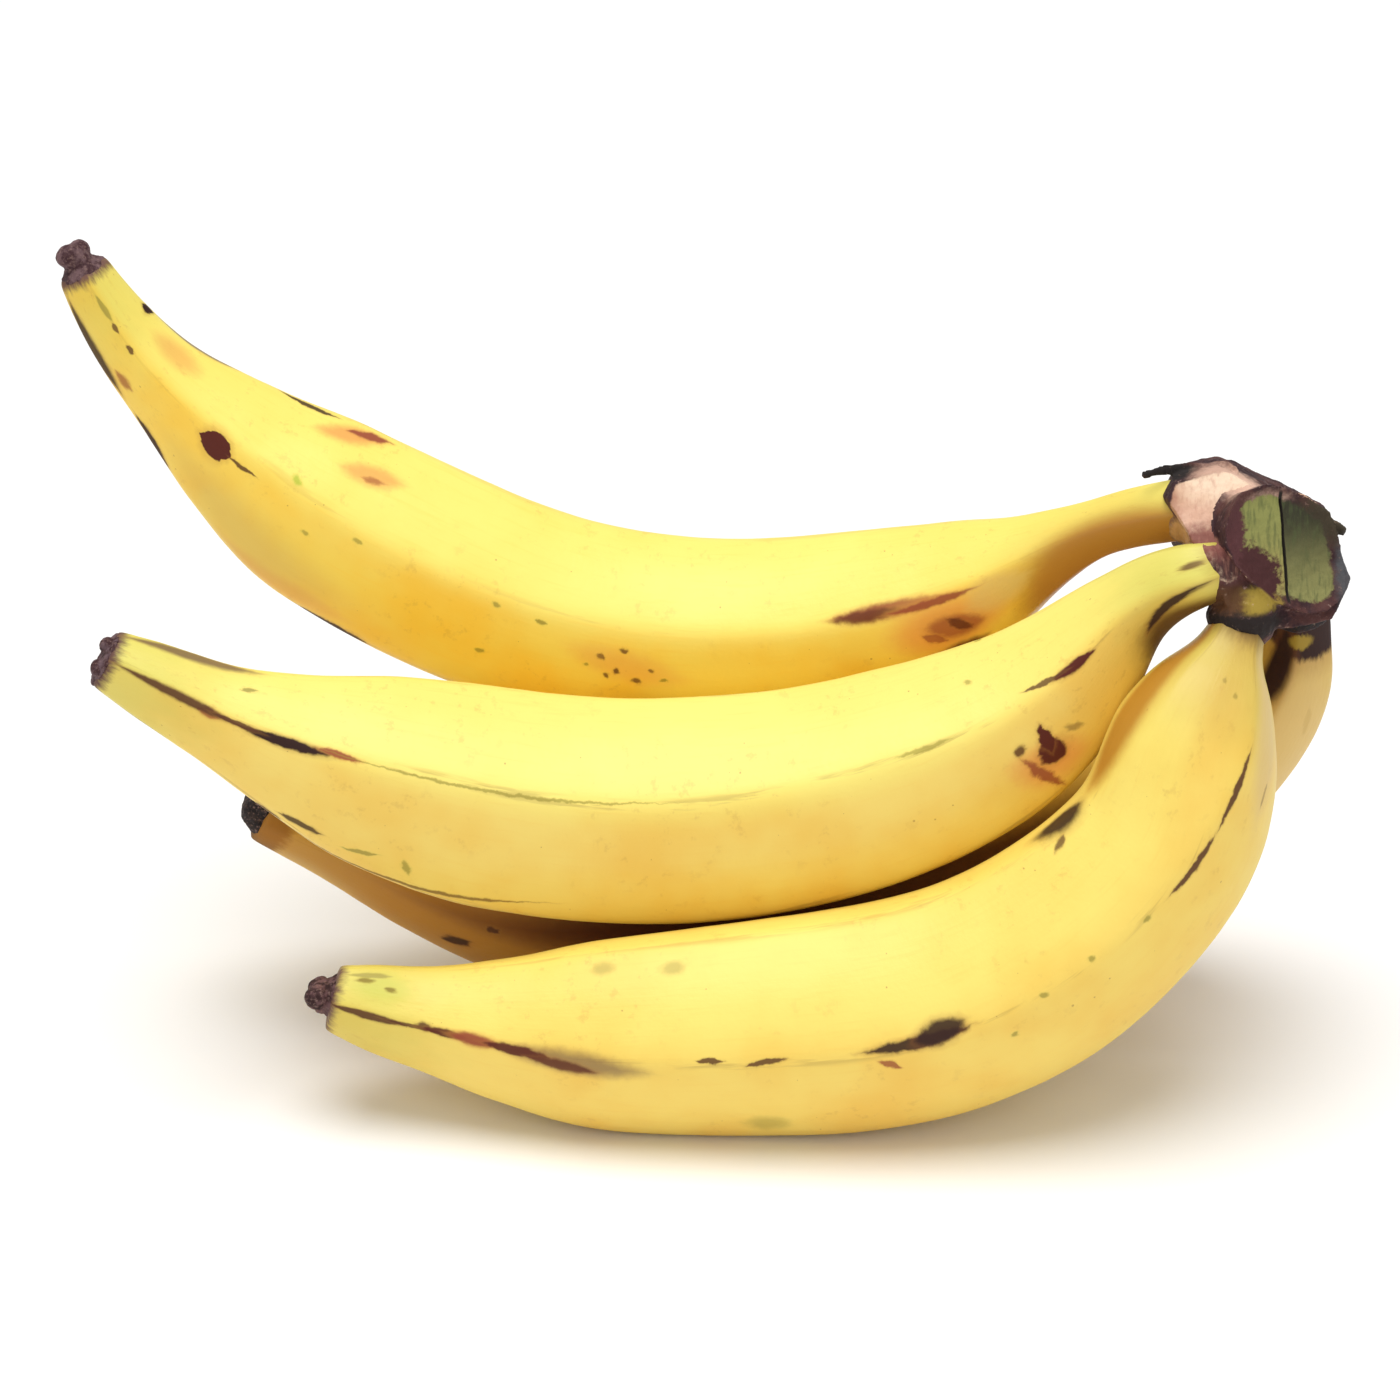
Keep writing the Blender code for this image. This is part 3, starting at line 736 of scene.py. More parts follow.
frontMarks = {
    # the first mark is painted shadow where the middle finger overhangs this finger's shoulder
    "shoulder": ("amber", 26, 82, 46, 12, 0, 0.4, 0.4, 0.85),
    "greyPatch": ("bruise", 195, 7, 30, 5.0, 6, 0.7, 0.6, 0.7),
    "tipGreenPatch": ("green", 238, 55, 13, 7, 0, 0.2, 0.7, 0.45),
    "tipDotOne": ("brown", 242, 62, 4, 1.4, -8, 0.4, 0.5, 0.6),
    "tipDotTwo": ("brown", 236, 52, 2.6, 1.4, 0, 0.2, 0.5, 0.6),
    "ridgeTip": ("brown", 240, 12, 18, 1.8, -1, 1, 0.3, 0.95),
    "ridgeThin": ("brown", 230, 13, 14, 0.8, 0, 1, 0.3, 0.85),
    "ridgeSpot": ("brown", 227.5, 15.5, 3, 1.9, 0, 0, 0.4, 0.9),
    "ridgeDark": ("maroon", 223, 13.5, 10, 1.7, 2, 0.8, 0.3, 0.95),
    "ridgeRust": ("rust", 216.5, 13, 11, 2.6, 4, 0.6, 0.4, 0.95),
    "ridgeDarkFar": ("maroon", 207, 10.5, 15, 2.3, 6, 0.8, 0.3, 0.95),
    "ridgeUnder": ("maroon", 197, 4.5, 15, 2.6, 8, 1, 0.45, 0.85),
    "dashOne": ("brown", 165, 9, 6, 1.3, 3, 1, 0.3, 0.9),
    "dashTwo": ("brown", 153, 7, 9, 1.5, -7, 1, 0.3, 0.9),
    "darkStreak": ("black", 120, 8, 24, 2.8, 0, 1, 0.3, 0.95),
    "darkCore": ("black", 115, 10, 12, 5, -5, 0.6, 0.3, 0.95),
    "hook": ("rust", 127, -1, 5, 1.6, 26, 0.8, 0.3, 0.8),
    "softSpot": ("olive", 154, -44, 8, 6, 0, 0, 0.6, 0.45),
    "smudgeOne": ("olive", 188, 67, 5, 3, 0, 0, 0.6, 0.45),
    "smudgeTwo": ("olive", 172, 63, 5, 3, 0, 0, 0.6, 0.45),
    "lensOne": ("brown", 53, -7, 14, 1.7, 13, 1, 0.3, 0.95),
    "lensTwo": ("brown", 37, -18, 17, 1.5, 14, 1, 0.3, 0.95),
    "edgeMark": ("brown", 38, -52, 6, 1.2, 20, 1, 0.3, 0.85),
    "contact": ("black", 64, 80, 18, 7.5, 8, 0.3, 0.35, 0.95),
    "contactLow": ("brown", 68, 66, 5, 1.8, -20, 0.4, 0.4, 0.8),
    "dotOne": ("olive", 92, 5, 1.5, 1.2, 0, 0, 0.4, 0.7),
    "dotTwo": ("olive", 80, 5, 1.4, 1.2, 0, 0, 0.4, 0.7),
    "dotThree": ("olive", 66, -1, 1.4, 1.2, 0, 0, 0.4, 0.7),
    "dotFour": ("olive", 101, -7, 1.4, 1.2, 0, 0, 0.4, 0.7),
    "dotFive": ("olive", 19, 11, 1.2, 1.0, 0, 0, 0.4, 0.7),
    "dotSix": ("olive", 21, -3, 1.2, 1.0, 0, 0, 0.4, 0.7),
    "specks": ("olive", 241, 71, 9, 1.4, -5, 0.8, 0.4, 0.7),
    "neckBand": ("black", 2.5, 0, 60, 3.4, 90, 0, 0.4, 0.9),
    "neckTone": ("tan", 16, 10, 22, 20, 0, 0, 0.7, 0.35),
    "facet": ("pale", 26, -48, 34, 10, 0, 0.4, 0.5, 0.7),
    "backStreak": ("brown", 140, 135, 22, 2.0, 6, 1, 0.35, 0.85),
    "backSpot": ("maroon", 185, 150, 6, 4, 0, 0.3, 0.4, 0.8),
    "underSmudge": ("olive", 110, -125, 26, 7, 0, 0.4, 0.7, 0.5),
}
backMarks = {
    # the first two marks are painted shade: on the side facing the camera, and on the strip seen between the
    # middle and front fingers
    "shadedSide": ("amber", 215, -5, 190, 44, 0, 0.2, 0.6, 0.75),
    "betweenFingers": ("maroon", 145, 40, 180, 15, -6, 0.3, 0.5, 0.9),
    "mark": ("black", 235, -19, 8, 3.4, -48, 0.8, 0.35, 0.9),
    "spot": ("brown", 229, 12, 2.4, 1.6, 0, 0, 0.4, 0.9),
    "streak": ("brown", 30, -29, 8, 1.8, -26, 1, 0.35, 0.8),
    # the next mark is painted light that pales the shaded part of the neck
    "neckPale": ("pale", 38, -14, 54, 28, 0, 0.2, 0.6, 0.9),
    "neckBlack": ("black", 8.5, -10, 80, 4.6, 90, 0, 0.15, 1.0),
    # the next mark is painted shade where this neck meets the front finger's neck
    "neckBar": ("black", 18, 36, 24, 6, 0, 0.6, 0.4, 1.0),
    "neckStub": ("stub", 10.5, 8, 4.6, 5.5, 0, 0.2, 0.35, 0.9),
    "backStreak": ("black", 150, 150, 28, 2.4, 4, 1, 0.35, 0.9),
    "backPatch": ("rust", 95, 165, 14, 6, 10, 0.4, 0.5, 0.75),
    "backDash": ("brown", 205, 130, 12, 1.6, -4, 1, 0.4, 0.85),
    "backSmudge": ("tan", 120, -150, 30, 9, 0, 0.3, 0.7, 0.6),
}

# each finger's amount after its wear sets how strongly painted light pales its upper faces
topFinger.update(pale=(0.95, 0.7, 0.12, 1), gold=(0.95, 0.59, 0.06, 1), neckGreen=0.25, tipGreen=0.25,
                 collar=1.2, collarInk=(0.15, 0.07, 0.05, 1), wear=0.12, lemon=0.62, marks=topMarks, seed=1)
middleFinger.update(pale=(0.9, 0.68, 0.16, 1), gold=(0.87, 0.57, 0.1, 1), neckGreen=0.4, tipGreen=0.35,
                    collar=1.4, collarInk=(0.13, 0.06, 0.045, 1), wear=0.3, lemon=0.7,
                    marks=middleMarks, seed=2)
frontFinger.update(pale=(0.9, 0.665, 0.14, 1), gold=(0.86, 0.55, 0.09, 1), neckGreen=0.35, tipGreen=0.35,
                   collar=0.6, collarInk=(0.15, 0.07, 0.055, 1), wear=0.25, lemon=0.42,
                   marks=frontMarks, seed=3)
backFinger.update(pale=(0.84, 0.58, 0.12, 1), gold=(0.76, 0.44, 0.07, 1), neckGreen=0.3, tipGreen=0.2,
                  collar=6.0, collarInk=(0.02, 0.01, 0.008, 1), wear=0.3, lemon=0.1, marks=backMarks, seed=4)


def peelMaterial(name, look, reach):
    material, tree, shader = startMaterial(name)
    place = tree.nodes.new("ShaderNodeMapping")
    feed(tree, place.inputs["Vector"], tree.nodes.new("ShaderNodeTexCoord").outputs["Object"])
    place.inputs["Location"].default_value = (look["seed"] * peelLook["apart"], 0, 0)
    peel = useGroup(tree, peelGroup, {
        "Place": readAttribute(tree, "skin")["Vector"], "Where": place.outputs[0],
        "Ridge": readAttribute(tree, "ridge")["Fac"], "Reach": reach,
        "Pale": look["pale"], "Gold": look["gold"], "Painted Top Light": look["lemon"], "Green": peelLook["green"],
        "Neck Green": look["neckGreen"], "Tip Green": look["tipGreen"], "Collar": look["collarInk"],
        "Collar Length": look["collar"], "Ridge Wear": look["wear"]})
    colour, dry = peel["Color"], peel["Dry"]
    for ink, along, around, length, width, turn, pointed, soft, strength in look["marks"].values():
        thinner = skinRadius / girthAt(look["girth"], along / reach)
        mark = useGroup(tree, markGroup, {
            "Surface": peel["Surface"], "Centre": (along, math.radians(around) * skinRadius, 0),
            "Turn": (0, 0, math.radians(turn)), "Half Size": (length / 2, width / 2 * thinner, 1),
            "Pointed": pointed, "Soft": soft})
        markColour, haloColour, haloStrength = markInk[ink]
        colour = layOver(tree, colour, mark["Halo"], haloStrength * strength, haloColour)
        colour = layOver(tree, colour, mark["Mark"], strength, markColour)
        if ink in dryInks:
            dry = calc(tree, "MAXIMUM", dry, mark["Mark"])
    finishSurface(tree, shader, colour, dry, peel["Relief"], peelFinish)
    return material


for label, look in fingers.items():
    name, spine = "plantain" + label, makeSpine(look["spine"])
    piece = growFinger(name, look, spine)
    material = peelMaterial(name + "Peel", look, spine["reach"])
    handOver(piece, "finger_" + label.lower(), material)


# The dried remains of the flower on each tip

blossomEnds = {
    # profile: distance past the tip and radius; lobes: ahead, sideways, up, radius
    "Top": {"profile": [(0.0, 5.6), (0.9, 4.6), (2.0, 3.5), (3.4, 3.2), (4.8, 3.0), (6.0, 2.2), (6.6, 1.1)],
            "lobes": [(4.6, 1.2, 1.0, 2.7), (4.0, -1.3, -1.1, 2.6)],
            "dry": (0.15, 0.085, 0.09, 1), "dark": (0.05, 0.018, 0.022, 1)},
    "Middle": {"profile": [(0.0, 6.4), (0.6, 6.0), (1.0, 5.0), (1.3, 3.2)],
               "lobes": [(0.9, 2.6, 2.0, 2.0), (0.9, -2.8, 0.6, 2.0)],
               "dry": (0.14, 0.085, 0.095, 1), "dark": (0.05, 0.018, 0.02, 1)},
    "Front": {"profile": [(0.0, 5.6), (0.9, 4.4), (2.0, 3.6), (3.4, 3.0), (4.6, 2.2), (5.2, 1.2)],
              "lobes": [(3.6, 0.4, 2.6, 2.7), (3.4, -0.4, -2.6, 2.6), (2.2, 2.6, 0.2, 1.8)],
              "dry": (0.15, 0.075, 0.075, 1), "dark": (0.03, 0.01, 0.01, 1)},
    "Back": {"profile": [(0.0, 6.6), (1.2, 6.2), (2.6, 5.4), (4.0, 4.2), (4.8, 2.4)],
             "lobes": [(1.4, 1.8, 1.4, 2.6), (1.2, -1.8, -1.0, 2.6)],
             "dry": (0.03, 0.02, 0.018, 1), "dark": (0.01, 0.006, 0.006, 1)},
}
blossomBuild = {
    "around": 20, "folds": 0.1, "lobeLevels": 3, "voxel": 0.25, "lump": (2.6, 0.6), "crease": (0.8, 0.25),
}
blossomFinish = {"smooth": 0.65, "rougher": 0.25, "relief": 0.7, "depth": 0.3, "gloss": 0.25}
blossomLook = {
    "patch": (420.0, 4.0, 0.6), "crease": (1400.0, 4.0, 0.65), "dryRange": (0.4, 0.62),
    "creaseRange": (0.5, 0.7), "creaseStrength": 0.5, "creaseInk": (0.32, 0.2, 0.17, 1),
}


def growBlossomEnd(name, finger, look):
    tip, turn = ringAt(makeSpine(finger["spine"]), finger, 1.0)
    ahead = turn.col[2]
    distance, radius = look["profile"][0]
    foot = tip + ahead * distance * mm
    nub = startRing(name, blossomBuild["around"], radius * mm, foot, turn.to_euler())
    applyPlace()
    pick(nub, "vertices", lambda v: v.index % 4 == 0)
    resizeRound(foot, 1 - blossomBuild["folds"])
    bpy.ops.mesh.select_all(action="SELECT")
    for nextDistance, nextRadius in look["profile"][1:]:
        pull(ahead * (nextDistance - distance) * mm, tip + ahead * nextDistance * mm, nextRadius / radius)
        distance, radius = nextDistance, nextRadius
    setMode("OBJECT")
    lobes = []
    for forward, across, up, size in look["lobes"]:
        bpy.ops.mesh.primitive_ico_sphere_add(subdivisions=blossomBuild["lobeLevels"], radius=size * mm,
                                              location=tip + turn @ (Vector((across, up, forward)) * mm))
        lobes.append(bpy.context.object)
    joinTo(nub, lobes)
    settle(nub)
    applyModifier(nub, "REMESH", mode="VOXEL", voxel_size=blossomBuild["voxel"] * mm)
    pushInAndOut(nub, blossomBuild, ("lump", "crease"))
    applyModifier(nub, "SMOOTH", factor=0.5, iterations=1)
    nub.data.shade_smooth()
    return nub


def blossomMaterial(name, look):
    material, tree, shader = startMaterial(name)
    where = tree.nodes.new("ShaderNodeTexCoord").outputs["Object"]
    patch = noise(tree, where, *blossomLook["patch"])
    crease = noise(tree, where, *blossomLook["crease"])
    colour = blendColour(tree, ramp(tree, patch, *blossomLook["dryRange"]), look["dark"], look["dry"])
    colour = layOver(tree, colour, ramp(tree, crease, *blossomLook["creaseRange"]),
                     blossomLook["creaseStrength"], blossomLook["creaseInk"])
    finishSurface(tree, shader, colour, crease, crease, blossomFinish)
    return material


for label, finger in fingers.items():
    look = blossomEnds[label]
    piece = growBlossomEnd("blossomEnd" + label, finger, look)
    material = blossomMaterial("driedBlossom" + label, look)
    handOver(piece, "blossom_end_" + label.lower(), material)


# The crown that holds the four necks

crown = {
    "centre": (118.3, 34, 124.2), "half": (21, 20, 16.2), "roundness": 0.67, "swell": 1.134, "cuts": 9,
    "voxel": 0.4, "grain": (7, 0.9), "fine": (1.5, 0.4), "smooth": 3,
    "stripCorners": 8, "stubCorners": 24, "nearCut": 2.4,
}
crownCuts = {  # point on the knife's plane, its outward side, rim left around it, how far it is sunk
    "pale": ((107, 24, 131.2), (-0.20, -0.62, 0.76), 0.6, 0.5),
    "underStump": ((128.1, 23.6, 123.9), (0.30, -0.88, 0.36), 0, 0),
    "neckSide": ((112, 17, 111.5), (-0.46, -0.45, -0.76), 0, 0),
    "leftSide": ((103.2, 30, 127), (-0.90, -0.20, -0.40), 0, 0),
    "topSlope": ((123, 35, 134.4), (0.44, 0.12, 0.89), 0, 0),
    "rightSlope": ((137, 33, 122.5), (0.93, 0, 0.36), 0, 0),
}
stalkStump = {  # the green cut through the stalk, its outline across and up from its middle
    "middle": (129, 21, 125), "outward": (0.30, -0.88, 0.36),
    "outline": [(-19.0, 9.5), (-17.2, 13.3), (-14.4, 16.4), (-8.6, 17.6), (-4.5, 16.6), (0.6, 13.8),
                (5.6, 9.8), (7.0, 4.6), (7.6, -2.0), (7.7, -6.4), (6.2, -9.0), (2.6, -11.0),
                (-2.5, -10.8), (-9.5, -7.4), (-14.2, -2.6), (-17.6, 1.8), (-19.2, 6.0)],
    "start": 12, "deep": 9, "shrink": 0.93, "rim": 2.3, "sunk": 1.4,
    "crack": {"middle": (-5.4, 4.0), "lean": -2.0, "size": (0.55, 6.0, 20.0)},
}
tornStrips = {  # points, half width, half thickness
    "longStrip": ([(94.5, 39, 137.4), (99, 39.5, 138.4), (105, 40, 138.9), (111, 40.5, 138.8)], 1.5, 0.55),
    "topLump": ([(107, 39.5, 138.4), (110, 40, 139.3), (113, 40, 139.3), (115, 39, 138.6)], 1.4, 0.7),
    "rightStrip": ([(127, 31, 132.9), (132, 29.5, 130.9), (137, 28.5, 128.6)], 1.8, 0.8),
}
neckStubs = {  # points down the middle and radius, from inside the crown to just round the neck
    "topStub": [(114, 34.5, 131.5, 6.5), (109, 36.8, 131.4, 7.3),
                (104.5, 38.8, 130.0, 7.5), (102.5, 40, 129.3, 6.6)],
    "middleStub": [(115, 24.5, 124.5, 5.2), (110.5, 22.4, 123.2, 6.2),
                   (107.2, 21.4, 122.1, 6.9), (105.2, 22, 121.2, 6.2)],
    "frontStub": [(118.5, 25, 120.5, 6.8), (116.0, 21.4, 114.6, 7.4),
                  (114.3, 19.4, 111, 7.4), (113.6, 18.4, 109.4, 6.2)],
    "backStub": [(129.5, 40.5, 113, 7.6), (130.6, 42.8, 107.6, 7.8),
                 (131, 44, 104.8, 7.6), (131.2, 44.6, 103.4, 6.6)],
}


def cutFrame(outward):
    # outward, across and up directions of a flat cut
    outward = Vector(outward).normalized()
    across = Vector((0, 0, 1)).cross(outward).normalized()
    return outward, across, outward.cross(across)


def leaveRim(piece, number, rim, sunk):
    # sinks a flat face inside a rim where the knife left the skin standing
    pick(piece, "polygons", lambda f: f.index == number)
    bpy.ops.mesh.inset(thickness=rim * mm, depth=-sunk * mm)
    setMode("OBJECT")


def sliceCrown(piece, cut):
    # one flat cut, with its outline
    point, outward, rim, sunk = cut
    onlySelect(piece)
    setMode("EDIT")
    bpy.ops.mesh.select_mode(type="FACE")
    bpy.ops.mesh.select_all(action="SELECT")
    bpy.ops.mesh.bisect(plane_co=toScene(point), plane_no=outward, use_fill=True, clear_outer=True)
    setMode("OBJECT")
    face = max((f for f in piece.data.polygons if f.select), key=lambda f: f.area)
    outline = np.array([piece.data.vertices[v].co for v in face.vertices])
    if rim:
        leaveRim(piece, face.index, rim, sunk)
    return outline


def sweep(name, stops, corners):
    # a tube or a flat strip through its stops, each with its own half sizes across
    here, size = toScene(stops[0][0]), stops[0][1]
    turn = (toScene(stops[1][0]) - here).to_track_quat("Z", "Y").to_euler()
    piece = startRing(name, corners, mm, here, turn)
    piece.scale = (size[0], size[1], 1)
    applyPlace()
    setMode("EDIT")
    bpy.ops.mesh.select_all(action="SELECT")
    for point, nextSize in stops[1:]:
        there = toScene(point)
        pull(there - here, there, (nextSize[0] + nextSize[1]) / (size[0] + size[1]))
        here, size = there, nextSize
    setMode("OBJECT")
    return piece


def insideOutline(points, outline, normal):
    # how far inside the outline each point lies, seen along the normal, and 0 outside it
    across = np.cross(normal, (0.0, 0.0, 1.0))
    across /= np.linalg.norm(across)
    flat = np.stack([points @ across, points @ np.cross(normal, across)], axis=-1)
    corners = np.stack([outline @ across, outline @ np.cross(normal, across)], axis=-1)
    nearest, crossings = np.full(len(points), 1e9), np.zeros(len(points), int)
    for a, b in zip(corners, np.roll(corners, -1, axis=0)):
        along = b - a
        t = np.clip(((flat - a) @ along) / max(along @ along, 1e-18), 0, 1)
        nearest = np.minimum(nearest, np.linalg.norm(flat - a - t[:, None] * along, axis=1))
        if a[1] != b[1]:
            level = (flat[:, 1] - a[1]) / (b[1] - a[1])
            crossings += (level >= 0) & (level < 1) & (flat[:, 0] < a[0] + level * along[0])
    return np.where(crossings % 2 == 1, nearest, 0.0)


def shapeStump():
    # a ring shaped corner by corner, extruded back into the crown, its end sunk inside a rim
    outward, across, up = cutFrame(stalkStump["outward"])
    middle = toScene(stalkStump["middle"])
    corners = [middle + (across * a + up * u) * mm for a, u in stalkStump["outline"]]
    stump = startRing("stalkStump", len(corners), stalkStump["start"] * mm, (0, 0, 0), (0, 0, 0))
    for number, corner in enumerate(corners):
        pick(stump, "vertices", lambda v: v.index == number)
        bpy.ops.transform.translate(value=corner - stump.data.vertices[number].co)
    back = -outward * stalkStump["deep"] * mm
    bpy.ops.mesh.select_all(action="SELECT")
    pull(back, sum(corners, Vector()) / len(corners) + back, stalkStump["shrink"])
    setMode("OBJECT")
    settle(stump)
    front = max(stump.data.polygons, key=lambda f: f.center @ outward).index
    leaveRim(stump, front, stalkStump["rim"], stalkStump["sunk"])
    return stump, np.array(corners)


def splitStump(block):
    # the dark crack down the green cut
    outward, across, up = cutFrame(stalkStump["outward"])
    crack = stalkStump["crack"]
    lean = math.radians(crack["lean"])
    a, u = crack["middle"]
    along = up * math.cos(lean) - across * math.sin(lean)
    turn = Matrix((along.cross(outward), -outward, along)).transposed()
    place = toScene(stalkStump["middle"]) + (across * a + up * u) * mm
    bpy.ops.object.select_all(action="DESELECT")
    bpy.ops.mesh.primitive_cube_add(size=1, location=place, rotation=turn.to_euler())
    blade = bpy.context.object
    blade.scale = [length * mm for length in crack["size"]]
    applyModifier(block, "BOOLEAN", object=blade, operation="DIFFERENCE", solver="EXACT")
    bpy.data.objects.remove(blade)


def writeCutFaces(block, outlines):
    # how far inside each cut face a point lies, and how far it is from the crack
    points = pointsOf(block)
    faces = {"pale": (crownCuts["pale"][0], crownCuts["pale"][1], crownCuts["pale"][3]),
             "stump": (stalkStump["middle"], stalkStump["outward"], stalkStump["sunk"])}
    inside = {}
    for name, (point, outward, sunk) in faces.items():
        normal = np.array(cutFrame(outward)[0])
        above = ((points - np.array(toScene(point))) @ normal) / mm
        near = np.clip(crown["nearCut"] - np.abs(above + sunk), 0, 1)
        inside[name] = insideOutline(points, outlines[name], normal) / mm * near
    outward, across, up = (np.array(v) for v in cutFrame(stalkStump["outward"]))
    inside["pale"] = np.where(insideOutline(points, outlines["stump"], outward) > 0, 0.0, inside["pale"])
    a, u = stalkStump["crack"]["middle"]
    lean = math.radians(stalkStump["crack"]["lean"])
    sideways = across * math.cos(lean) + up * math.sin(lean)
    pastCrack = ((points - np.array(toScene(stalkStump["middle"]))) @ sideways) / mm
    pastCrack = pastCrack - a * math.cos(lean) - u * math.sin(lean)
    keepOnPoints(block, "cutFaces", np.stack([inside["pale"], inside["stump"], pastCrack], -1))


def carveCrown():
    bpy.ops.object.select_all(action="DESELECT")
    bpy.ops.mesh.primitive_cube_add(size=2, location=(0, 0, 0))
    block = bpy.context.object
    block.name = "cutCrown"
    setMode("EDIT")
    bpy.ops.mesh.select_all(action="SELECT")
    bpy.ops.mesh.subdivide(number_cuts=crown["cuts"])
    bpy.ops.transform.tosphere(value=crown["roundness"])
    setMode("OBJECT")
    block.scale = [h * mm / crown["swell"] for h in crown["half"]]
    block.location = toScene(crown["centre"])
    applyPlace()
    outlines = {name: sliceCrown(block, cut) for name, cut in crownCuts.items()}
    stump, outlines["stump"] = shapeStump()
    extras = [stump]
    for name, (points, width, thick) in tornStrips.items():
        stops = []
        for i, point in enumerate(points):
            swell = 0.25 + 0.75 * math.sin(math.pi * (i + 0.5) / len(points))  # thin at both ends
            stops.append((point, (thick * swell, width * swell)))
        extras.append(sweep(name, stops, crown["stripCorners"]))
    for name, stops in neckStubs.items():
        stops = [((x, y, z), (r, r)) for x, y, z, r in stops]
        extras.append(sweep(name, stops, crown["stubCorners"]))
    joinTo(block, extras)
    settle(block)
    applyModifier(block, "REMESH", mode="VOXEL", voxel_size=crown["voxel"] * mm)
    applyModifier(block, "SMOOTH", factor=0.5, iterations=crown["smooth"])
    pushInAndOut(block, crown, ("grain", "fine"))
    splitStump(block)
    block.data.shade_smooth()
    writeCutFaces(block, outlines)
    return block


def makeSpotGroup():
    # a soft patch of colour round a place on the crown
    group, given, gives = newGroup(
        "crownSpot", {"Vector": ("Where", "Place", "Reach"), "Float": ("Ragged", "Soft")},
        {"Float": ("Spot",)})
    away = vectorMath(group, "SUBTRACT", given["Where"], given["Place"])
    share = vectorMath(group, "DIVIDE", away, given["Reach"])
    far = calc(group, "ADD", vectorMath(group, "LENGTH", share, want="Value"), given["Ragged"])
    feed(group, gives["Spot"], edgeAt(group, far, 1.0, given["Soft"]))
    return group


crownSpots = {  # colour, place, reach each way, softness, strength
    "frontStub": ((0.36, 0.25, 0.035, 1), (117, 15.2, 118.2), (5.4, 6, 2.8), 0.3, 1.0),
    "frontStubBrown": ((0.1, 0.04, 0.015, 1), (110.8, 16.5, 118), (4.2, 6, 4.4), 0.4, 0.95),
    "frontBand": ((0.016, 0.009, 0.008, 1), (114.4, 15.5, 112.8), (9.5, 8, 3.2), 0.25, 1.0),
    "backBand": ((0.015, 0.012, 0.014, 1), (130.5, 38, 107), (10, 9, 6), 0.4, 1.0),
    "neckWeb": ((0.62, 0.34, 0.14, 1), (102.5, 31, 126.5), (3.2, 6, 4.0), 0.4, 0.9),
    "underNeck": ((0.1, 0.035, 0.035, 1), (109.8, 18.5, 124.6), (6, 5, 3.4), 0.4, 1.0),
    "lowRim": ((0.45, 0.2, 0.12, 1), (105, 22.5, 128.2), (5, 4, 1.8), 0.4, 0.8),
    "longStrip": ((0.02, 0.015, 0.014, 1), (99, 39.5, 138.4), (8.5, 5, 1.6), 0.3, 1.0),
    "topRidgeLeft": ((0.62, 0.38, 0.28, 1), (110.5, 34, 139.8), (6, 5.5, 2.6), 0.5, 0.9),
    "topRidge": ((0.74, 0.48, 0.36, 1), (117.5, 33, 138), (8, 8, 2.6), 0.5, 0.95),
    "rightEdge": ((0.09, 0.1, 0.11, 1), (137, 25, 122), (2.5, 9, 8), 0.4, 0.8),
    "rightTorn": ((0.5, 0.52, 0.5, 1), (138, 24, 126), (1.6, 3, 3), 0.6, 0.7),
    "upperRight": ((0.05, 0.038, 0.02, 1), (131.5, 30, 132.5), (8, 9, 6), 0.4, 0.95),
}
paleSpots = {
    "brownLeft": ((0.36, 0.16, 0.09, 1), (99, 30, 134), (2.6, 8, 6), 0.6, 0.8),
    "pinkMiddle": ((0.62, 0.33, 0.24, 1), (104, 27, 132.6), (7, 4, 3), 0.7, 0.6),
    "skinLow": ((0.05, 0.017, 0.017, 1), (110.4, 19.5, 125.2), (6.2, 5, 4.6), 0.3, 1.0),
    "mauveLow": ((0.22, 0.07, 0.055, 1), (106, 21.8, 128.8), (9, 5, 3.6), 0.5, 0.95),
    "creamTop": ((0.9, 0.68, 0.5, 1), (110, 32, 138.6), (8, 6, 3), 0.5, 0.8),
}
stumpSpots = {  # skin that closes in on the green face
    "lowLeft": ((0.06, 0.016, 0.016, 1), (114.3, 16.4, 122.6), (8.4, 9, 7.4), 0.12, 1.0),
    "left": ((0.09, 0.028, 0.03, 1), (110.6, 18, 132.5), (4.0, 9, 8), 0.15, 1.0),
}
crownInk = {
    "skinDark": (0.035, 0.011, 0.014, 1), "skinLight": (0.085, 0.03, 0.026, 1),
    "crust": (0.24, 0.15, 0.14, 1), "paleLow": (0.66, 0.41, 0.27, 1), "paleHigh": (0.84, 0.61, 0.43, 1),
    "paleFibre": (0.45, 0.2, 0.14, 1),
    "leftGreen": (0.25, 0.255, 0.075, 1), "leftFoot": (0.36, 0.29, 0.09, 1),
    # the right green and its foot are darkened as painted shade
    "rightGreen": (0.035, 0.034, 0.016, 1), "rightFoot": (0.27, 0.26, 0.09, 1),
    # the last colour below is painted shade for the inside of the crack
    "greenFibre": (0.07, 0.09, 0.03, 1), "crack": (0.012, 0.008, 0.006, 1),
}
crownGrain = {  # scale, detail and roughness of each pattern
    "patch": (160.0, 4.0, 0.6), "fine": (700.0, 4.0, 0.65), "upright": (1.0, 4.0, 0.6), "pale": (150.0, 3.0),
    "fibres": (1100.0, 500.0, 120.0),  # how the upright fibres are stretched
    "ragged": 1.5, "shake": 0.45, "paleRagged": 0.35,
    "crustStrength": 0.6, "paleFibreStrength": 0.45, "greenFibreStrength": 0.55,
}
crownRange = {  # where each pattern starts and where it is full
    "skin": (0.42, 0.6), "crust": (0.56, 0.75), "pale": (0.35, 0.65), "paleFibre": (0.45, 0.75),
    "paleFace": (0.1, 0.55), "foot": (0.132, 0.112), "pastCrack": (-0.3, 0.6), "greenFibre": (0.45, 0.7),
    "greenFace": (1.9, 2.9), "onStump": (0.0, 0.8), "crack": (0.5, 0.25), "crackFace": (0.5, 1.5),
}
crownFinish = {"smooth": 0.62, "rougher": 0.2, "relief": 0.6, "depth": 0.4, "gloss": 0.3}


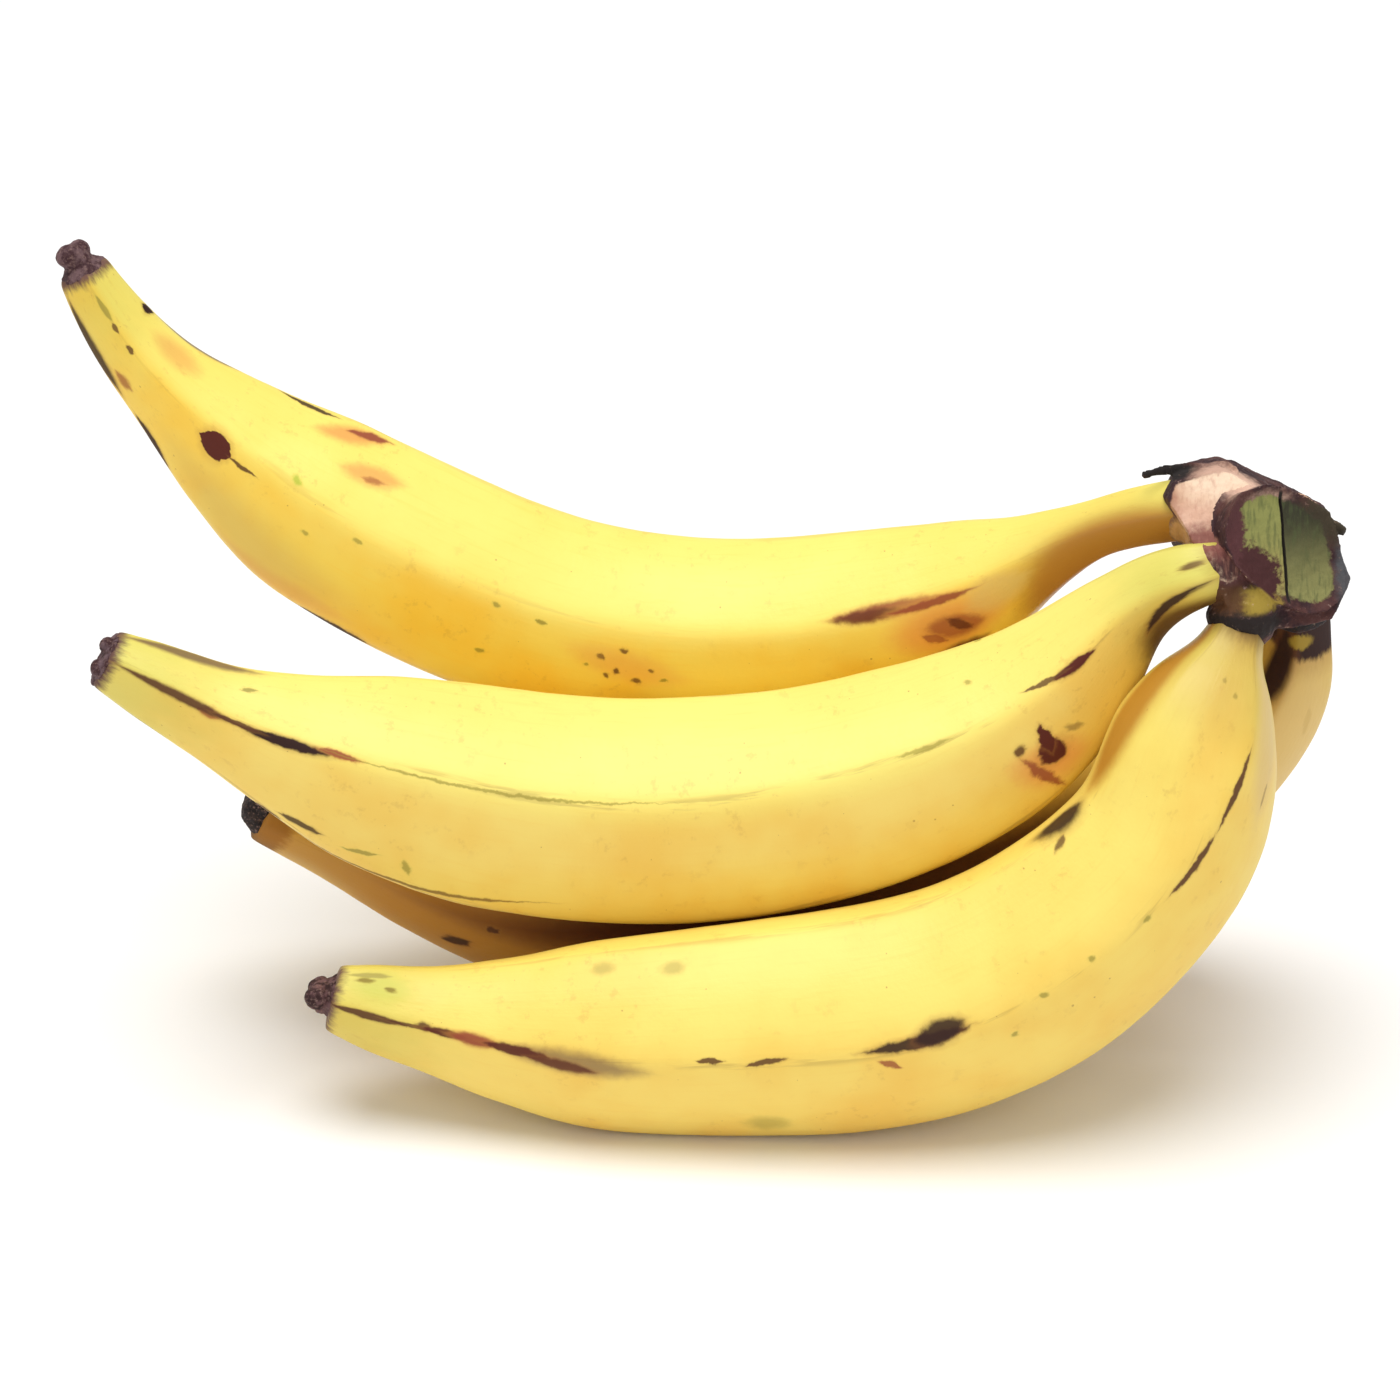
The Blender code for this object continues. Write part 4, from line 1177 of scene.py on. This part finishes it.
def paintSpots(tree, group, where, shake, spots, colour):
    for ink, place, reach, soft, strength in spots.values():
        spot = useGroup(tree, group, {"Where": where, "Place": toScene(place), "Soft": soft,
                                      "Reach": [r * mm for r in reach], "Ragged": shake})
        colour = layOver(tree, colour, spot["Spot"], strength, ink)
    return colour


def crownMaterial():
    material, tree, shader = startMaterial("cutCrown")
    ink, grain, span = crownInk, crownGrain, crownRange
    where = tree.nodes.new("ShaderNodeTexCoord").outputs["Object"]
    pale, green, pastCrack = splitVector(tree, readAttribute(tree, "cutFaces")["Vector"])
    patch = noise(tree, where, *grain["patch"])
    fine = noise(tree, where, *grain["fine"])
    upright = noise(tree, vectorMath(tree, "MULTIPLY", where, grain["fibres"]), *grain["upright"])
    ragged = centred(tree, fine, grain["ragged"])
    shake = centred(tree, fine, grain["shake"])
    spotGroup = makeSpotGroup()
    # purple-brown skin, with dry greyish crusts
    colour = blendColour(tree, ramp(tree, patch, *span["skin"]), ink["skinDark"], ink["skinLight"])
    colour = layOver(tree, colour, ramp(tree, fine, *span["crust"]), grain["crustStrength"], ink["crust"])
    colour = paintSpots(tree, spotGroup, where, shake, crownSpots, colour)
    # the fibrous pale face
    cream = noise(tree, where, *grain["pale"])
    face = blendColour(tree, ramp(tree, cream, *span["pale"]), ink["paleLow"], ink["paleHigh"])
    face = paintSpots(tree, spotGroup, where, shake, paleSpots, face)
    fibre = ramp(tree, upright, *span["paleFibre"])
    face = layOver(tree, face, fibre, grain["paleFibreStrength"], ink["paleFibre"])
    onFace = ramp(tree, calc(tree, "MULTIPLY_ADD", ragged, grain["paleRagged"], pale), *span["paleFace"])
    colour = blendColour(tree, onFace, colour, face)
    # the green face, yellower towards its foot; past the crack it is darker with painted shade for a facet
    # that turns from the light
    foot = ramp(tree, splitVector(tree, where)[2], *span["foot"])
    left = blendColour(tree, foot, ink["leftGreen"], ink["leftFoot"])
    right = blendColour(tree, foot, ink["rightGreen"], ink["rightFoot"])
    face = blendColour(tree, ramp(tree, pastCrack, *span["pastCrack"]), left, right)
    fibre = ramp(tree, upright, *span["greenFibre"])
    face = layOver(tree, face, fibre, grain["greenFibreStrength"], ink["greenFibre"])
    onFace = ramp(tree, calc(tree, "ADD", green, ragged), *span["greenFace"])
    colour = blendColour(tree, onFace, colour, face)
    closed = paintSpots(tree, spotGroup, where, shake, stumpSpots, colour)
    colour = blendColour(tree, ramp(tree, green, *span["onStump"]), colour, closed)
    # painted shade down in the crack
    crackShade = ramp(tree, calc(tree, "ABSOLUTE", pastCrack), *span["crack"])
    colour = layOver(tree, colour, crackShade, ramp(tree, green, *span["crackFace"]), ink["crack"])
    finishSurface(tree, shader, colour, fine, calc(tree, "ADD", upright, fine), crownFinish)
    return material


handOver(carveCrown(), "crown", crownMaterial())
